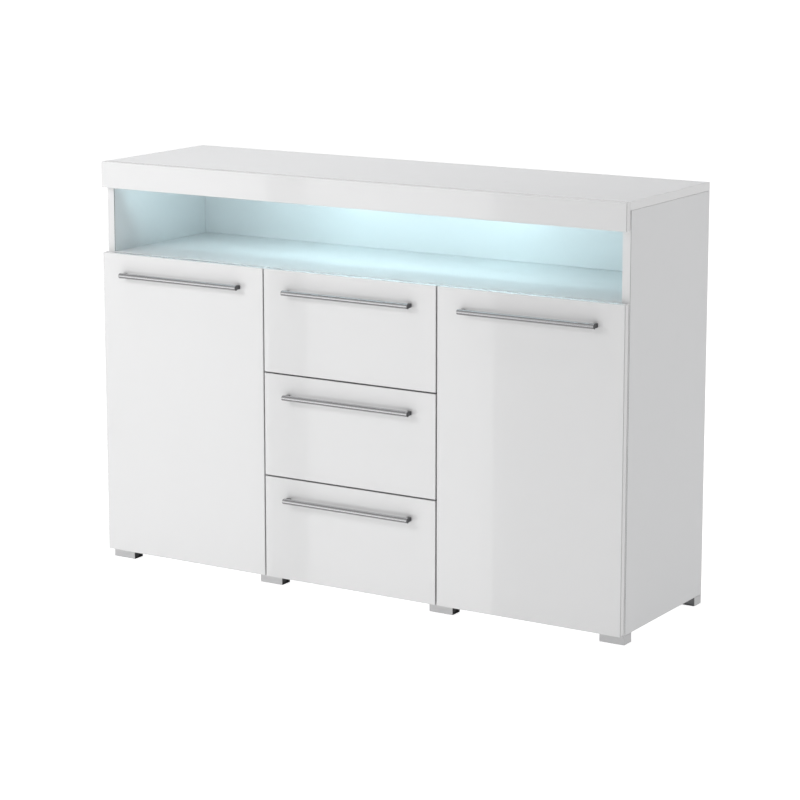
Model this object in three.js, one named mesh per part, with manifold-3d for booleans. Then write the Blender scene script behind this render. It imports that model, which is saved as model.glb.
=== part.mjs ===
// Sideboard buffet: two hinged cupboards, a stack of three drawers and an open, lit niche
// under the top. Millimetres, +Z up. The front faces -Y, +X is on the right, and the origin is
// on the floor, midway across the width and the full depth with the handles.
import * as THREE from 'three';
import { mergeVertices } from 'three/addons/utils/BufferGeometryUtils.js';
import Module from 'manifold-3d';

const wasm = await Module();
wasm.setup();

// ---------------------------------------------------------------- driving dimensions
const width = 1320;
const height = 920;
const depth = 386.5; // outer face of the fronts to the back edge, without the handles
const boardThickness = 18;
const backThickness = 3;
const frontThickness = 18;
const bumperGap = 2.8; // between a closed front and the carcass edges
const frontGap = 3; // between neighbouring fronts
const frontReveal = 2.5; // carcass underside to the lower edge of the fronts
const nicheHeight = 187.5; // clear height under the top panel
const fasciaHeight = 59;
const footHeight = 20;
const edgeRound = 1; // eased edges of the carcass boards
const glossRound = 1.2; // eased edges of the fronts and the fascia
const fit = 0.3; // air left where two fixed pieces meet
const shelfPlay = 1;
const shelfHeightShare = 0.5; // of the cupboard's clear height
const shelfSetback = 20;

const handle = { length: 320, height: 12, thickness: 9, projection: 22, drop: 47 };
const handleLeg = { width: 10, height: 9, bite: 3 };
const foot = { width: 58, depth: 32, corner: 2 };
const light = { radius: 30, height: 9, rim: 5, recess: 3, spacing: 410, fromBack: 78 };

const box = { length: 350, side: 12, lift: 29, headroom: 59 }; // drawer boxes
const grooveDepth = 5;
const groovePlay = 0.3;
const baseThickness = 3;
const baseLift = 11; // drawer base above the lower edge of the box

const runnerSpace = 12.5; // on each side of a drawer box
const runnerSteel = 1.2;
const cabinetRail = { height: 28, flange: 9.7, topFlange: 7.7, lip: 4 };
const drawerRail = { below: 1.5, above: 24.5, ledge: 12, arm: 9.2, armLift: 11.5, lip: 5.2 };

// Concealed hinges. Offsets count inwards from the inner face of the side panel, and sinks
// count forwards from the inner face of the door.
const hinge = {
  inset: 100, // hinge centre from the top and bottom edges of the door
  pivotOffset: 13,
  pivotSink: 6,
  tipOffset: -7,
  tipSink: 4.5,
  noseRadius: 2.8,
  noseHalfHeight: 3.2,
  armHalfHeight: 7,
  armSetback: 23, // arm's front end behind the carcass front
  armLength: 46,
  armTaper: 12,
  plateThickness: 2,
  plateSetback: 12, // behind the arm's front end
  plateLength: 20,
  plateHalfHeight: 24,
  pinRadius: 1.5,
  pinHead: 0.6,
  linkHalfHeight: 5.5,
  linkThickness: 2.5,
  linkEyeRadius: 2.9,
  linkEyeRoom: 1.2, // around the nose
  runningClearance: 0.3,
};
const cup = {
  radius: 17.5,
  offset: 3.5,
  depth: 11.5,
  wall: 1.2,
  neckHalf: 3,
  wingReach: 30,
  wingWidth: 19,
  wingThickness: 1,
};

// ---------------------------------------------------------------- derived planes
const carcassFront = frontThickness + bumperGap;
const carcassBottom = footHeight + fit;
const topUnderside = height - boardThickness;
const nicheFloor = topUnderside - nicheHeight;
const innerHalf = width / 2 - boardThickness; // inner face of the side panels
const seatedHalf = innerHalf - fit;
const boardBack = depth - backThickness - fit; // rear edge of the boards the back panel covers
const cupboardFloor = carcassBottom + boardThickness;
const cupboardCeiling = nicheFloor - boardThickness;
const dividerCentre = width / 6;
const dividerOuter = dividerCentre + boardThickness / 2;
const dividerInner = dividerCentre - boardThickness / 2;
const frontBottom = carcassBottom + frontReveal;
const frontTop = nicheFloor - 0.5;
const doorInner = dividerCentre + frontGap / 2;
const drawerHalf = dividerCentre - frontGap / 2;
const drawerNames = ['bottom_drawer', 'middle_drawer', 'top_drawer'];
const drawerPitch = (frontTop - frontBottom + frontGap) / drawerNames.length;
const frontHeight = drawerPitch - frontGap;
const boxHeight = frontHeight - box.lift - box.headroom;
const boxHalf = dividerInner - runnerSpace;
const boxFront = frontThickness + fit;
const boxBack = boxFront + box.length;
const cupCentre = boardThickness + cup.offset;
// Plan places of the link's ends, inwards from the door's outer edge, back from its outer face.
const linkPivot = new THREE.Vector2(
  boardThickness + hinge.pivotOffset,
  frontThickness - hinge.pivotSink,
);
const linkTip = new THREE.Vector2(boardThickness + hinge.tipOffset, frontThickness - hinge.tipSink);
const sides = [
  { name: 'left', sign: -1 },
  { name: 'right', sign: 1 },
];

// ---------------------------------------------------------------- finishes
const finish = (colour, roughness, metalness) =>
  new THREE.MeshStandardMaterial({ color: colour, roughness, metalness });
const whiteLaminate = () => finish(0xe9eaec, 0.5, 0);
const whiteGloss = () => finish(0xf3f4f6, 0.08, 0);
const satinMetal = () => finish(0xb4b5b8, 0.28, 1);
const footSilver = () => finish(0xc2c3c5, 0.42, 0.6);
const zincSteel = () => finish(0xb9bcc0, 0.35, 1);
const whiteRunner = () => finish(0xe4e5e6, 0.45, 0.2);
const drawerFoil = () => finish(0xe6e7e8, 0.6, 0);
const coolLight = () => finish(0xd8f4f6, 0.3, 0);

// ---------------------------------------------------------------- geometry helpers
// A box between two corners, each pair of limits in either order.
function boxBetween(x0, x1, y0, y1, z0, z1) {
  const geometry = new THREE.BoxGeometry(Math.abs(x1 - x0), Math.abs(y1 - y0), Math.abs(z1 - z0));
  return geometry.translate((x0 + x1) / 2, (y0 + y1) / 2, (z0 + z1) / 2);
}

// A board with all twelve edges eased by the same small chamfer.
function easedBoard(x0, x1, y0, y1, z0, z1, ease) {
  const [halfX, halfY] = [Math.abs(x1 - x0) / 2, Math.abs(y1 - y0) / 2];
  const outline = new THREE.Shape();
  outline.moveTo(ease - halfX, -halfY);
  outline.lineTo(halfX - ease, -halfY);
  outline.lineTo(halfX, ease - halfY);
  outline.lineTo(halfX, halfY - ease);
  outline.lineTo(halfX - ease, halfY);
  outline.lineTo(ease - halfX, halfY);
  outline.lineTo(-halfX, halfY - ease);
  outline.lineTo(-halfX, ease - halfY);
  const thickness = Math.abs(z1 - z0);
  const geometry = new THREE.ExtrudeGeometry(outline, {
    depth: thickness - 2 * ease,
    bevelThickness: ease,
    bevelSize: ease,
    bevelOffset: -ease,
    bevelSegments: 1,
  });
  return geometry.translate((x0 + x1) / 2, (y0 + y1) / 2, Math.min(z0, z1) + ease);
}

// A plan outline carried up from z0 to z1.
function plate(outline, z0, z1, curveSegments = 12) {
  const options = { depth: z1 - z0, bevelEnabled: false, curveSegments };
  return new THREE.ExtrudeGeometry(outline, options).translate(0, 0, z0);
}

// A section drawn in (y, z) and carried along +X from x0 to x1.
function alongX(section, x0, x1, curveSegments = 12) {
  const options = { depth: x1 - x0, bevelEnabled: false, curveSegments };
  const turn = new THREE.Matrix4().makeBasis(
    new THREE.Vector3(0, 1, 0),
    new THREE.Vector3(0, 0, 1),
    new THREE.Vector3(1, 0, 0),
  );
  return new THREE.ExtrudeGeometry(section, options).applyMatrix4(turn).translate(x0, 0, 0);
}

// A section drawn in (x, z) and carried along Y from y0 to y1.
function alongY(section, y0, y1) {
  const options = { depth: y1 - y0, bevelEnabled: false };
  const turn = new THREE.Matrix4().makeBasis(
    new THREE.Vector3(1, 0, 0),
    new THREE.Vector3(0, 0, 1),
    new THREE.Vector3(0, -1, 0),
  );
  return new THREE.ExtrudeGeometry(section, options).applyMatrix4(turn).translate(0, y1, 0);
}

// A closed outline from its corner points.
function polygon(points) {
  return new THREE.Shape(points.map(([u, v]) => new THREE.Vector2(u, v)));
}

// A three.js geometry as a manifold solid.
function solid(geometry) {
  const bare = geometry.clone();
  bare.deleteAttribute('normal');
  bare.deleteAttribute('uv');
  const welded = mergeVertices(bare, 1e-4);
  return new wasm.Manifold(
    new wasm.Mesh({
      numProp: 3,
      vertProperties: new Float32Array(welded.attributes.position.array),
      triVerts: new Uint32Array(welded.index.array),
    }),
  );
}

// A manifold solid back as a three.js geometry.
function fromSolid(body) {
  const result = body.getMesh();
  const geometry = new THREE.BufferGeometry();
  geometry.setAttribute('position', new THREE.BufferAttribute(result.vertProperties, 3));
  geometry.setIndex(new THREE.BufferAttribute(result.triVerts, 1));
  geometry.computeVertexNormals();
  return geometry;
}

function joined(...geometries) {
  return fromSolid(geometries.map(solid).reduce((whole, piece) => whole.add(piece)));
}

function cut(geometry, ...tools) {
  return fromSolid(tools.map(solid).reduce((whole, tool) => whole.subtract(tool), solid(geometry)));
}

function named(name, geometry, material) {
  const mesh = new THREE.Mesh(geometry, material);
  mesh.name = name;
  return mesh;
}

// ---------------------------------------------------------------- carcass
function topPanel() {
  const front = frontThickness + fit;
  const shape = easedBoard(-width / 2, width / 2, front, depth, topUnderside, height, edgeRound);
  return named('top_panel', shape, whiteLaminate());
}

function topFascia() {
  const low = height - fasciaHeight;
  const shape = easedBoard(-width / 2, width / 2, 0, frontThickness, low, height, glossRound);
  return named('top_fascia', shape, whiteGloss());
}

function sidePanel({ name, sign }) {
  const [inner, outer] = [sign * innerHalf, (sign * width) / 2];
  const top = topUnderside - fit;
  const shape = easedBoard(inner, outer, carcassFront, depth, carcassBottom, top, edgeRound);
  return named(`${name}_side_panel`, shape, whiteLaminate());
}

function bottomPanel() {
  const shape = easedBoard(
    -seatedHalf, seatedHalf, carcassFront, boardBack, carcassBottom, cupboardFloor, edgeRound,
  );
  return named('bottom_panel', shape, whiteLaminate());
}

function nicheShelf() {
  const shape = easedBoard(
    -seatedHalf, seatedHalf, carcassFront, boardBack, cupboardCeiling, nicheFloor, edgeRound,
  );
  return named('niche_shelf', shape, whiteLaminate());
}

function divider({ name, sign }) {
  const [inner, outer] = [sign * dividerInner, sign * dividerOuter];
  const [low, high] = [cupboardFloor + fit, cupboardCeiling - fit];
  const shape = easedBoard(inner, outer, carcassFront, boardBack, low, high, edgeRound);
  return named(`${name}_divider`, shape, whiteLaminate());
}

function nicheBackPanel() {
  const front = depth - boardThickness;
  const [low, high] = [nicheFloor + fit, topUnderside - fit];
  const shape = easedBoard(-seatedHalf, seatedHalf, front, depth, low, high, edgeRound);
  return named('niche_back_panel', shape, whiteLaminate());
}

function backPanel() {
  const front = depth - backThickness;
  const shape = boxBetween(-seatedHalf, seatedHalf, front, depth, carcassBottom, nicheFloor);
  return named('back_panel', shape, whiteLaminate());
}

function cupboardShelf({ name, sign }) {
  const inner = sign * (dividerOuter + shelfPlay);
  const outer = sign * (innerHalf - shelfPlay);
  const clearHeight = cupboardCeiling - cupboardFloor - boardThickness;
  const low = cupboardFloor + clearHeight * shelfHeightShare;
  const front = carcassFront + shelfSetback;
  const back = boardBack - shelfPlay;
  const shape = easedBoard(inner, outer, front, back, low, low + boardThickness, edgeRound);
  return named(`${name}_shelf`, shape, whiteLaminate());
}

// ---------------------------------------------------------------- feet
function footBlock(name, centreX, centreY) {
  const [halfX, halfY, r] = [foot.width / 2, foot.depth / 2, foot.corner];
  const outline = new THREE.Shape();
  outline.moveTo(r - halfX, -halfY);
  outline.absarc(halfX - r, r - halfY, r, -Math.PI / 2, 0);
  outline.absarc(halfX - r, halfY - r, r, 0, Math.PI / 2);
  outline.absarc(r - halfX, halfY - r, r, Math.PI / 2, Math.PI);
  outline.absarc(r - halfX, r - halfY, r, Math.PI, 1.5 * Math.PI);
  const shape = plate(outline, 0, footHeight, 3).translate(centreX, centreY, 0);
  return named(name, shape, footSilver());
}

function feet() {
  const cornerX = width / 2 - foot.width / 2;
  const frontY = carcassFront + foot.depth / 2;
  const rearY = depth - foot.depth / 2;
  return sides.flatMap(({ name, sign }) => [
    footBlock(`front_${name}_foot`, sign * cornerX, frontY),
    footBlock(`middle_${name}_foot`, sign * dividerCentre, frontY),
    footBlock(`rear_${name}_foot`, sign * cornerX, rearY),
  ]);
}

// ---------------------------------------------------------------- niche lights
function nicheLight({ name, sign }) {
  const lensRadius = light.radius - light.rim;
  const profile = [
    [0, 0],
    [light.radius, 0],
    [light.radius, light.height - 1],
    [light.radius - 1, light.height],
    [lensRadius, light.height],
    [lensRadius, light.height - light.recess],
    [0, light.height - light.recess],
  ].map(([r, h]) => new THREE.Vector2(r, h));
  const shape = new THREE.LatheGeometry(profile, 32);
  shape.rotateX(-Math.PI / 2);
  shape.translate((sign * light.spacing) / 2, depth - light.fromBack, topUnderside - fit);
  return named(`${name}_niche_light`, shape, coolLight());
}

// ---------------------------------------------------------------- handles
// Section of the grip in (y, z): flat at the back and rounded towards the hand.
function gripSection() {
  const back = handle.thickness - handle.projection;
  const flank = back - 2;
  const half = handle.height / 2;
  const section = new THREE.Shape();
  section.moveTo(back, half);
  section.lineTo(flank, half);
  section.absellipse(flank, 0, handle.projection + flank, half, Math.PI / 2, 1.5 * Math.PI);
  section.lineTo(back, -half);
  return section;
}

// A pull handle centred across x = 0, its grip level with z = 0, standing on the plane y = 0.
function pullHandle(name) {
  const end = handle.length / 2;
  const gripBack = handle.thickness - handle.projection;
  const half = handleLeg.height / 2;
  const grip = alongX(gripSection(), -end, end, 7);
  const legs = [-end, end - handleLeg.width].map((x) =>
    boxBetween(x, x + handleLeg.width, gripBack - handleLeg.bite, -fit, -half, half),
  );
  return named(`${name}_handle`, joined(grip, ...legs), satinMetal());
}

// ---------------------------------------------------------------- concealed hinges
// Turns a plan place counted from a door's outer edge into model x.
function fromDoorEdge(sign, inwards) {
  return sign * (width / 2 - inwards);
}

// A round in plan, standing between two heights.
function upright(sign, place, radius, z0, z1, segments = 20) {
  const outline = new THREE.Shape();
  outline.absarc(fromDoorEdge(sign, place.x), place.y, radius, 0, 2 * Math.PI);
  return plate(outline, z0, z1, segments);
}

function hingeArm(name, sign, z) {
  const place = (x, y) => [fromDoorEdge(sign, x), y];
  const { noseRadius, noseHalfHeight, armHalfHeight } = hinge;
  const seat = boardThickness + fit;
  const noseInner = linkPivot.x + noseRadius;
  const noseOuter = linkPivot.x - noseRadius;
  const armFront = carcassFront + hinge.armSetback;
  const armBack = armFront + hinge.armLength;
  const plateFront = armFront + hinge.plateSetback;
  const plateBack = plateFront + hinge.plateLength;
  const nose = polygon([
    place(noseOuter, linkPivot.y), place(noseInner, linkPivot.y),
    place(noseInner, armFront), place(noseOuter, armFront),
  ]);
  const arm = polygon([
    place(seat, armFront), place(noseOuter, armFront - noseRadius * 2),
    place(noseInner, armFront - noseRadius * 2), place(noseInner, armBack - hinge.armTaper),
    place(noseInner - hinge.armTaper / 2, armBack), place(seat, armBack),
  ]);
  const plateInner = seat + hinge.plateThickness;
  const base = polygon([
    place(seat, plateFront), place(plateInner, plateFront),
    place(plateInner, plateBack), place(seat, plateBack),
  ]);
  const pinHalf = hinge.linkHalfHeight + hinge.pinHead;
  const shape = joined(
    plate(arm, z - armHalfHeight, z + armHalfHeight),
    plate(nose, z - noseHalfHeight, z + noseHalfHeight),
    upright(sign, linkPivot, noseRadius, z - noseHalfHeight, z + noseHalfHeight),
    upright(sign, linkPivot, hinge.pinRadius, z - pinHalf, z + pinHalf, 12),
    plate(base, z - hinge.plateHalfHeight, z + hinge.plateHalfHeight),
  );
  return named(name, shape, zincSteel());
}

// The link swings on the arm's pin, and its free tip rides inside the cup.
function hingeLink(name, sign, z) {
  const { linkHalfHeight, linkEyeRadius, runningClearance } = hinge;
  const along = linkPivot.clone().sub(linkTip).normalize();
  const across = new THREE.Vector2(-along.y, along.x).multiplyScalar(hinge.linkThickness / 2);
  const corners = [
    linkTip.clone().add(across), linkPivot.clone().add(across),
    linkPivot.clone().sub(across), linkTip.clone().sub(across),
  ];
  const web = polygon(corners.map(({ x, y }) => [fromDoorEdge(sign, x), y]));
  const [low, high] = [z - linkHalfHeight, z + linkHalfHeight];
  const noseRoom = hinge.noseHalfHeight + runningClearance;
  const body = joined(
    plate(web, low, high),
    upright(sign, linkPivot, linkEyeRadius, low, high),
    upright(sign, linkTip, hinge.linkThickness / 2, low, high, 12),
  );
  const shape = cut(
    body,
    upright(sign, linkPivot, hinge.noseRadius + hinge.linkEyeRoom, z - noseRoom, z + noseRoom),
    upright(sign, linkPivot, hinge.pinRadius + runningClearance, low - 1, high + 1, 12),
  );
  return named(name, shape, zincSteel());
}

function hingeCup(name, sign, z) {
  const floor = frontThickness - cup.depth;
  const inner = cup.radius - cup.wall;
  const profile = [
    [0, floor],
    [cup.radius, floor],
    [cup.radius, frontThickness],
    [inner, frontThickness],
    [inner, floor + cup.wall],
    [0, floor + cup.wall],
  ].map(([r, y]) => new THREE.Vector2(r, y));
  const x = fromDoorEdge(sign, cupCentre);
  const bowl = new THREE.LatheGeometry(profile, 32).translate(x, 0, z);
  const half = cup.wingWidth / 2;
  const face = frontThickness + fit;
  const necks = [-1, 1].map((up) =>
    boxBetween(
      x - cup.neckHalf, x + cup.neckHalf, frontThickness - cup.wall, face + cup.wingThickness,
      z + up * (inner - 1), z + up * (cup.radius - 0.4),
    ),
  );
  const wings = [-1, 1].map((up) =>
    boxBetween(
      x - half, x + half, face, face + cup.wingThickness,
      z + up * (inner - 1), z + up * cup.wingReach,
    ),
  );
  return named(name, joined(bowl, ...necks, ...wings), zincSteel());
}

// ---------------------------------------------------------------- doors
const hingeHeights = [
  { name: 'lower', z: frontBottom + hinge.inset },
  { name: 'upper', z: frontTop - hinge.inset },
];

function doorPanel({ name, sign }) {
  const [inner, outer] = [sign * doorInner, (sign * width) / 2];
  const blank = easedBoard(inner, outer, 0, frontThickness, frontBottom, frontTop, glossRound);
  const floor = frontThickness - cup.depth - fit;
  const x = fromDoorEdge(sign, cupCentre);
  const bores = hingeHeights.map(({ z }) => {
    const bore = new THREE.CylinderGeometry(cup.radius + fit, cup.radius + fit, cup.depth + 1, 32);
    return bore.translate(x, floor + (cup.depth + 1) / 2, z);
  });
  return named(`${name}_door_panel`, cut(blank, ...bores), whiteGloss());
}

function door(side) {
  const group = new THREE.Group();
  const grip = pullHandle(`${side.name}_door`);
  const centre = (side.sign * (width / 2 + doorInner)) / 2;
  grip.position.set(centre, 0, frontTop - handle.drop);
  group.add(doorPanel(side), grip);
  for (const level of hingeHeights) {
    group.add(hingeCup(`${side.name}_${level.name}_hinge_cup`, side.sign, level.z));
  }
  return group;
}

function hingesOnCarcass(side) {
  const group = new THREE.Group();
  for (const level of hingeHeights) {
    const base = `${side.name}_${level.name}_hinge`;
    group.add(hingeArm(`${base}_arm`, side.sign, level.z));
    group.add(hingeLink(`${base}_link`, side.sign, level.z));
  }
  return group;
}

// ---------------------------------------------------------------- drawers
// Each drawer is drawn with z = 0 at the lower edge of its front.
function drawerFront(name) {
  const shape = easedBoard(
    -drawerHalf, drawerHalf, 0, frontThickness, 0, frontHeight, glossRound,
  );
  return named(`${name}_front`, shape, whiteGloss());
}

// Both sides and the back are one foil-wrapped board, folded into a U and grooved for the base.
function drawerWrap(name) {
  const inner = boxHalf - box.side;
  const innerBack = boxBack - box.side;
  const outline = polygon([
    [-boxHalf, boxFront], [-inner, boxFront], [-inner, innerBack], [inner, innerBack],
    [inner, boxFront], [boxHalf, boxFront], [boxHalf, boxBack], [-boxHalf, boxBack],
  ]);
  const low = box.lift + baseLift;
  const groove = boxBetween(
    -inner - grooveDepth, inner + grooveDepth, boxFront - 1, innerBack + grooveDepth,
    low - groovePlay, low + baseThickness + groovePlay,
  );
  const shape = cut(plate(outline, box.lift, box.lift + boxHeight), groove);
  return named(`${name}_box`, shape, drawerFoil());
}

function drawerBase(name) {
  const half = boxHalf - box.side + grooveDepth - groovePlay;
  const back = boxBack - box.side + grooveDepth - groovePlay;
  const low = box.lift + baseLift;
  const shape = boxBetween(-half, half, boxFront, back, low, low + baseThickness);
  return named(`${name}_base`, shape, drawerFoil());
}

// The steel angle under one side of the box, with an arm that reaches into the cabinet rail.
function drawerRunner(name, { name: sideName, sign }) {
  const t = runnerSteel;
  const web = boxHalf + fit; // face next to the box
  const low = box.lift - fit - t;
  const armTop = low + drawerRail.armLift + t;
  const x = (offset) => sign * (web + offset);
  const section = polygon([
    [x(-drawerRail.ledge), low], [x(t), low],
    [x(t), armTop - t], [x(drawerRail.arm - t), armTop - t],
    [x(drawerRail.arm - t), armTop - drawerRail.lip], [x(drawerRail.arm), armTop - drawerRail.lip],
    [x(drawerRail.arm), armTop], [x(t), armTop],
    [x(t), low + drawerRail.above], [x(0), low + drawerRail.above],
    [x(0), low + t], [x(-drawerRail.ledge), low + t],
  ]);
  const shape = alongY(section, boxFront, boxBack);
  return named(`${name}_${sideName}_runner`, shape, whiteRunner());
}

function drawer(name, index) {
  const group = new THREE.Group();
  group.position.z = frontBottom + index * drawerPitch;
  const grip = pullHandle(name);
  grip.position.z = frontHeight - handle.drop;
  group.add(drawerFront(name), grip, drawerWrap(name), drawerBase(name));
  group.add(...sides.map((side) => drawerRunner(name, side)));
  return group;
}

// The steel channel on the divider that a drawer runner rolls in.
function cabinetRunner(name, { name: sideName, sign }, index) {
  const t = runnerSteel;
  const web = dividerInner - fit; // face next to the divider
  const low = frontBottom + index * drawerPitch + box.lift - fit - t - drawerRail.below;
  const base = low - cabinetRail.lip;
  const x = (offset) => sign * (web - offset);
  const high = base + cabinetRail.height;
  const section = polygon([
    [x(0), base], [x(cabinetRail.flange), base],
    [x(cabinetRail.flange), base + cabinetRail.lip], [x(cabinetRail.flange - t), base + cabinetRail.lip],
    [x(cabinetRail.flange - t), base + t], [x(t), base + t],
    [x(t), high - t], [x(cabinetRail.topFlange), high - t],
    [x(cabinetRail.topFlange), high], [x(0), high],
  ]);
  const shape = alongY(section, carcassFront + 1, carcassFront + 1 + box.length);
  return named(`${name}_${sideName}_rail`, shape, whiteRunner());
}

// ---------------------------------------------------------------- assembly
function carcass() {
  const group = new THREE.Group();
  group.add(topPanel(), topFascia(), bottomPanel(), nicheShelf(), nicheBackPanel(), backPanel());
  for (const side of sides) {
    group.add(sidePanel(side), divider(side), cupboardShelf(side), nicheLight(side));
  }
  group.add(...feet());
  return group;
}

function sideboard() {
  const group = new THREE.Group();
  group.position.y = (handle.projection - depth) / 2;
  group.add(carcass());
  group.add(...sides.map(hingesOnCarcass), ...sides.map(door));
  drawerNames.forEach((name, index) => {
    group.add(drawer(name, index));
    group.add(...sides.map((side) => cabinetRunner(name, side, index)));
  });
  return group;
}

export default sideboard();
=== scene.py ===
"""Looks of the sideboard buffet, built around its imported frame.

Each sub-assembly is a class that reads its places from the frame, shapes its pieces with bmesh
operators and dresses them. Lengths are metres, +Z is up and the fronts face -Y.
"""

import logging
import math
from dataclasses import dataclass
from enum import Enum
from typing import Callable, Iterable, Sequence

import bmesh
import bpy
from mathutils import Euler, Matrix, Quaternion, Vector


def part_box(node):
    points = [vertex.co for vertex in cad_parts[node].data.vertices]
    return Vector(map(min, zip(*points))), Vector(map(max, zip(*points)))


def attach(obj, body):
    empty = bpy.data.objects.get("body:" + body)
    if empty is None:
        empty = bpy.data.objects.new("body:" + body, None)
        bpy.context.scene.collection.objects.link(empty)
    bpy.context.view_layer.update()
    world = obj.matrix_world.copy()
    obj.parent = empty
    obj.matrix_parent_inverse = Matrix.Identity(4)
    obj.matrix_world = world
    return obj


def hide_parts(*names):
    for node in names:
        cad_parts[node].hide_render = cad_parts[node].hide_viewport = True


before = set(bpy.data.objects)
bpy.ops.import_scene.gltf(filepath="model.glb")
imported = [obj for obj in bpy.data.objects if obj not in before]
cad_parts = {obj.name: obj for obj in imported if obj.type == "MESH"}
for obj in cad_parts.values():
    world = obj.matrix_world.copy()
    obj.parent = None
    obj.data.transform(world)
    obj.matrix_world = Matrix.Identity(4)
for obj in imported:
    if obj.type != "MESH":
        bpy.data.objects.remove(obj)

MM = 0.001
HAIR = 0.00005
SIDES: dict[str, int] = {"left": -1, "right": 1}
DRAWERS: tuple[str, ...] = ("bottom_drawer", "middle_drawer", "top_drawer")
LEVELS: tuple[str, ...] = ("lower", "upper")
CARCASS = "carcass"

Colour = tuple[float, float, float]
Place = tuple[float, float, float]
log = logging.getLogger("sideboard")


class Slot(Enum):
    """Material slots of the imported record."""

    LAMINATE = "white_laminate"
    GLOSS = "white_gloss"
    METAL = "satin_metal"
    FOOT = "foot_silver"
    ZINC = "zinc_steel"
    RUNNER = "runner_white"
    FOIL = "drawer_foil"
    LIGHT = "light_housing"


class Axis(Enum):
    """Directions of the shared frame."""

    X = Vector((1.0, 0.0, 0.0))
    Y = Vector((0.0, 1.0, 0.0))
    Z = Vector((0.0, 0.0, 1.0))


# ----------------------------------------------------------------------------- node helpers
class Graph:
    """A short way to place and join the nodes of one node tree."""

    def __init__(self, tree: bpy.types.NodeTree) -> None:
        """Keeps the tree.

        Args:
            tree: The node tree that this graph fills.
        """
        self.tree = tree

    def node(self, kind: str, settings: dict | None = None, **inputs: object) -> bpy.types.Node:
        """Adds a node and fills its inputs.

        Args:
            kind: The node's type, such as ShaderNodeTexNoise.
            settings: Attributes of the node itself.
            **inputs: Socket names, with _ for a space, and a number, colour or output socket.

        Returns:
            The new node.
        """
        made = self.tree.nodes.new(kind)
        for name, value in (settings or {}).items():
            setattr(made, name, value)
        for name, value in inputs.items():
            self.feed(made, name.replace("_", " "), value)
        return made

    def feed(self, node: bpy.types.Node, socket: str | int, value: object) -> None:
        """Sets one input to a constant or links it to an output socket.

        Args:
            node: The node whose input is set.
            socket: The input's name or number.
            value: A number, a colour, or an output socket to link.
        """
        target = node.inputs[socket]
        if isinstance(value, bpy.types.NodeSocket):
            self.tree.links.new(value, target)
        elif isinstance(value, tuple) and len(value) == 3 and target.type == "RGBA":
            target.default_value = (*value, 1.0)
        else:
            target.default_value = value

    def maths(self, operation: str, first: object, second: object = 0.0,
              third: object = 0.0) -> bpy.types.NodeSocket:
        """Adds a Math node.

        Args:
            operation: The node's operation, such as MULTIPLY.
            first: First operand, a number or a socket.
            second: Second operand.
            third: Third operand, read by the operations that have one.

        Returns:
            The result socket.
        """
        made = self.tree.nodes.new("ShaderNodeMath")
        made.operation = operation
        for place, value in enumerate((first, second, third)):
            self.feed(made, place, value)
        return made.outputs[0]

    def blend(self, share: object, low: object, high: object) -> bpy.types.NodeSocket:
        """Mixes two colours.

        Args:
            share: How much of the second colour shows, a number or a socket.
            low: The first colour or socket.
            high: The second colour or socket.

        Returns:
            The mixed colour socket.
        """
        made = self.tree.nodes.new("ShaderNodeMix")
        made.data_type = "RGBA"
        self.feed(made, 0, share)
        self.feed(made, 6, low)
        self.feed(made, 7, high)
        return made.outputs[2]

    def band(self, value: bpy.types.NodeSocket, low: float, high: float,
             to_low: float = 0.0, to_high: float = 1.0) -> bpy.types.NodeSocket:
        """Maps a range of values to another, smoothly and clamped.

        Args:
            value: The socket to map.
            low: Where the range starts.
            high: Where it ends.
            to_low: The result at the start.
            to_high: The result at the end.

        Returns:
            The mapped value socket.
        """
        made = self.node("ShaderNodeMapRange", {"interpolation_type": "SMOOTHSTEP"})
        for place, number in enumerate((value, low, high, to_low, to_high)):
            self.feed(made, place, number)
        return made.outputs[0]

    def noise(self, where: bpy.types.NodeSocket, scale: object,
              **inputs: float) -> bpy.types.NodeSocket:
        """Adds a noise texture.

        Args:
            where: The coordinates it reads.
            scale: Its scale, a number or a socket.
            **inputs: Its other inputs.

        Returns:
            The value socket.
        """
        made = self.node("ShaderNodeTexNoise", Vector=where, Scale=scale, **inputs)
        return made.outputs["Fac"]

    def depth(self) -> bpy.types.NodeSocket:
        """The Y of each point, in metres."""
        where = self.node("ShaderNodeTexCoord").outputs["Object"]
        return self.node("ShaderNodeSeparateXYZ", Vector=where).outputs["Y"]


def object_coordinates(graph: Graph, stretch: Place = (1.0, 1.0, 1.0)) -> bpy.types.NodeSocket:
    """Object coordinates, scaled along each axis.

    Args:
        graph: The graph that gets the nodes.
        stretch: Scale along X, Y and Z.

    Returns:
        The vector socket.
    """
    source = graph.node("ShaderNodeTexCoord").outputs["Object"]
    return graph.node("ShaderNodeMapping", Vector=source, Scale=stretch).outputs[0]


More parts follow.
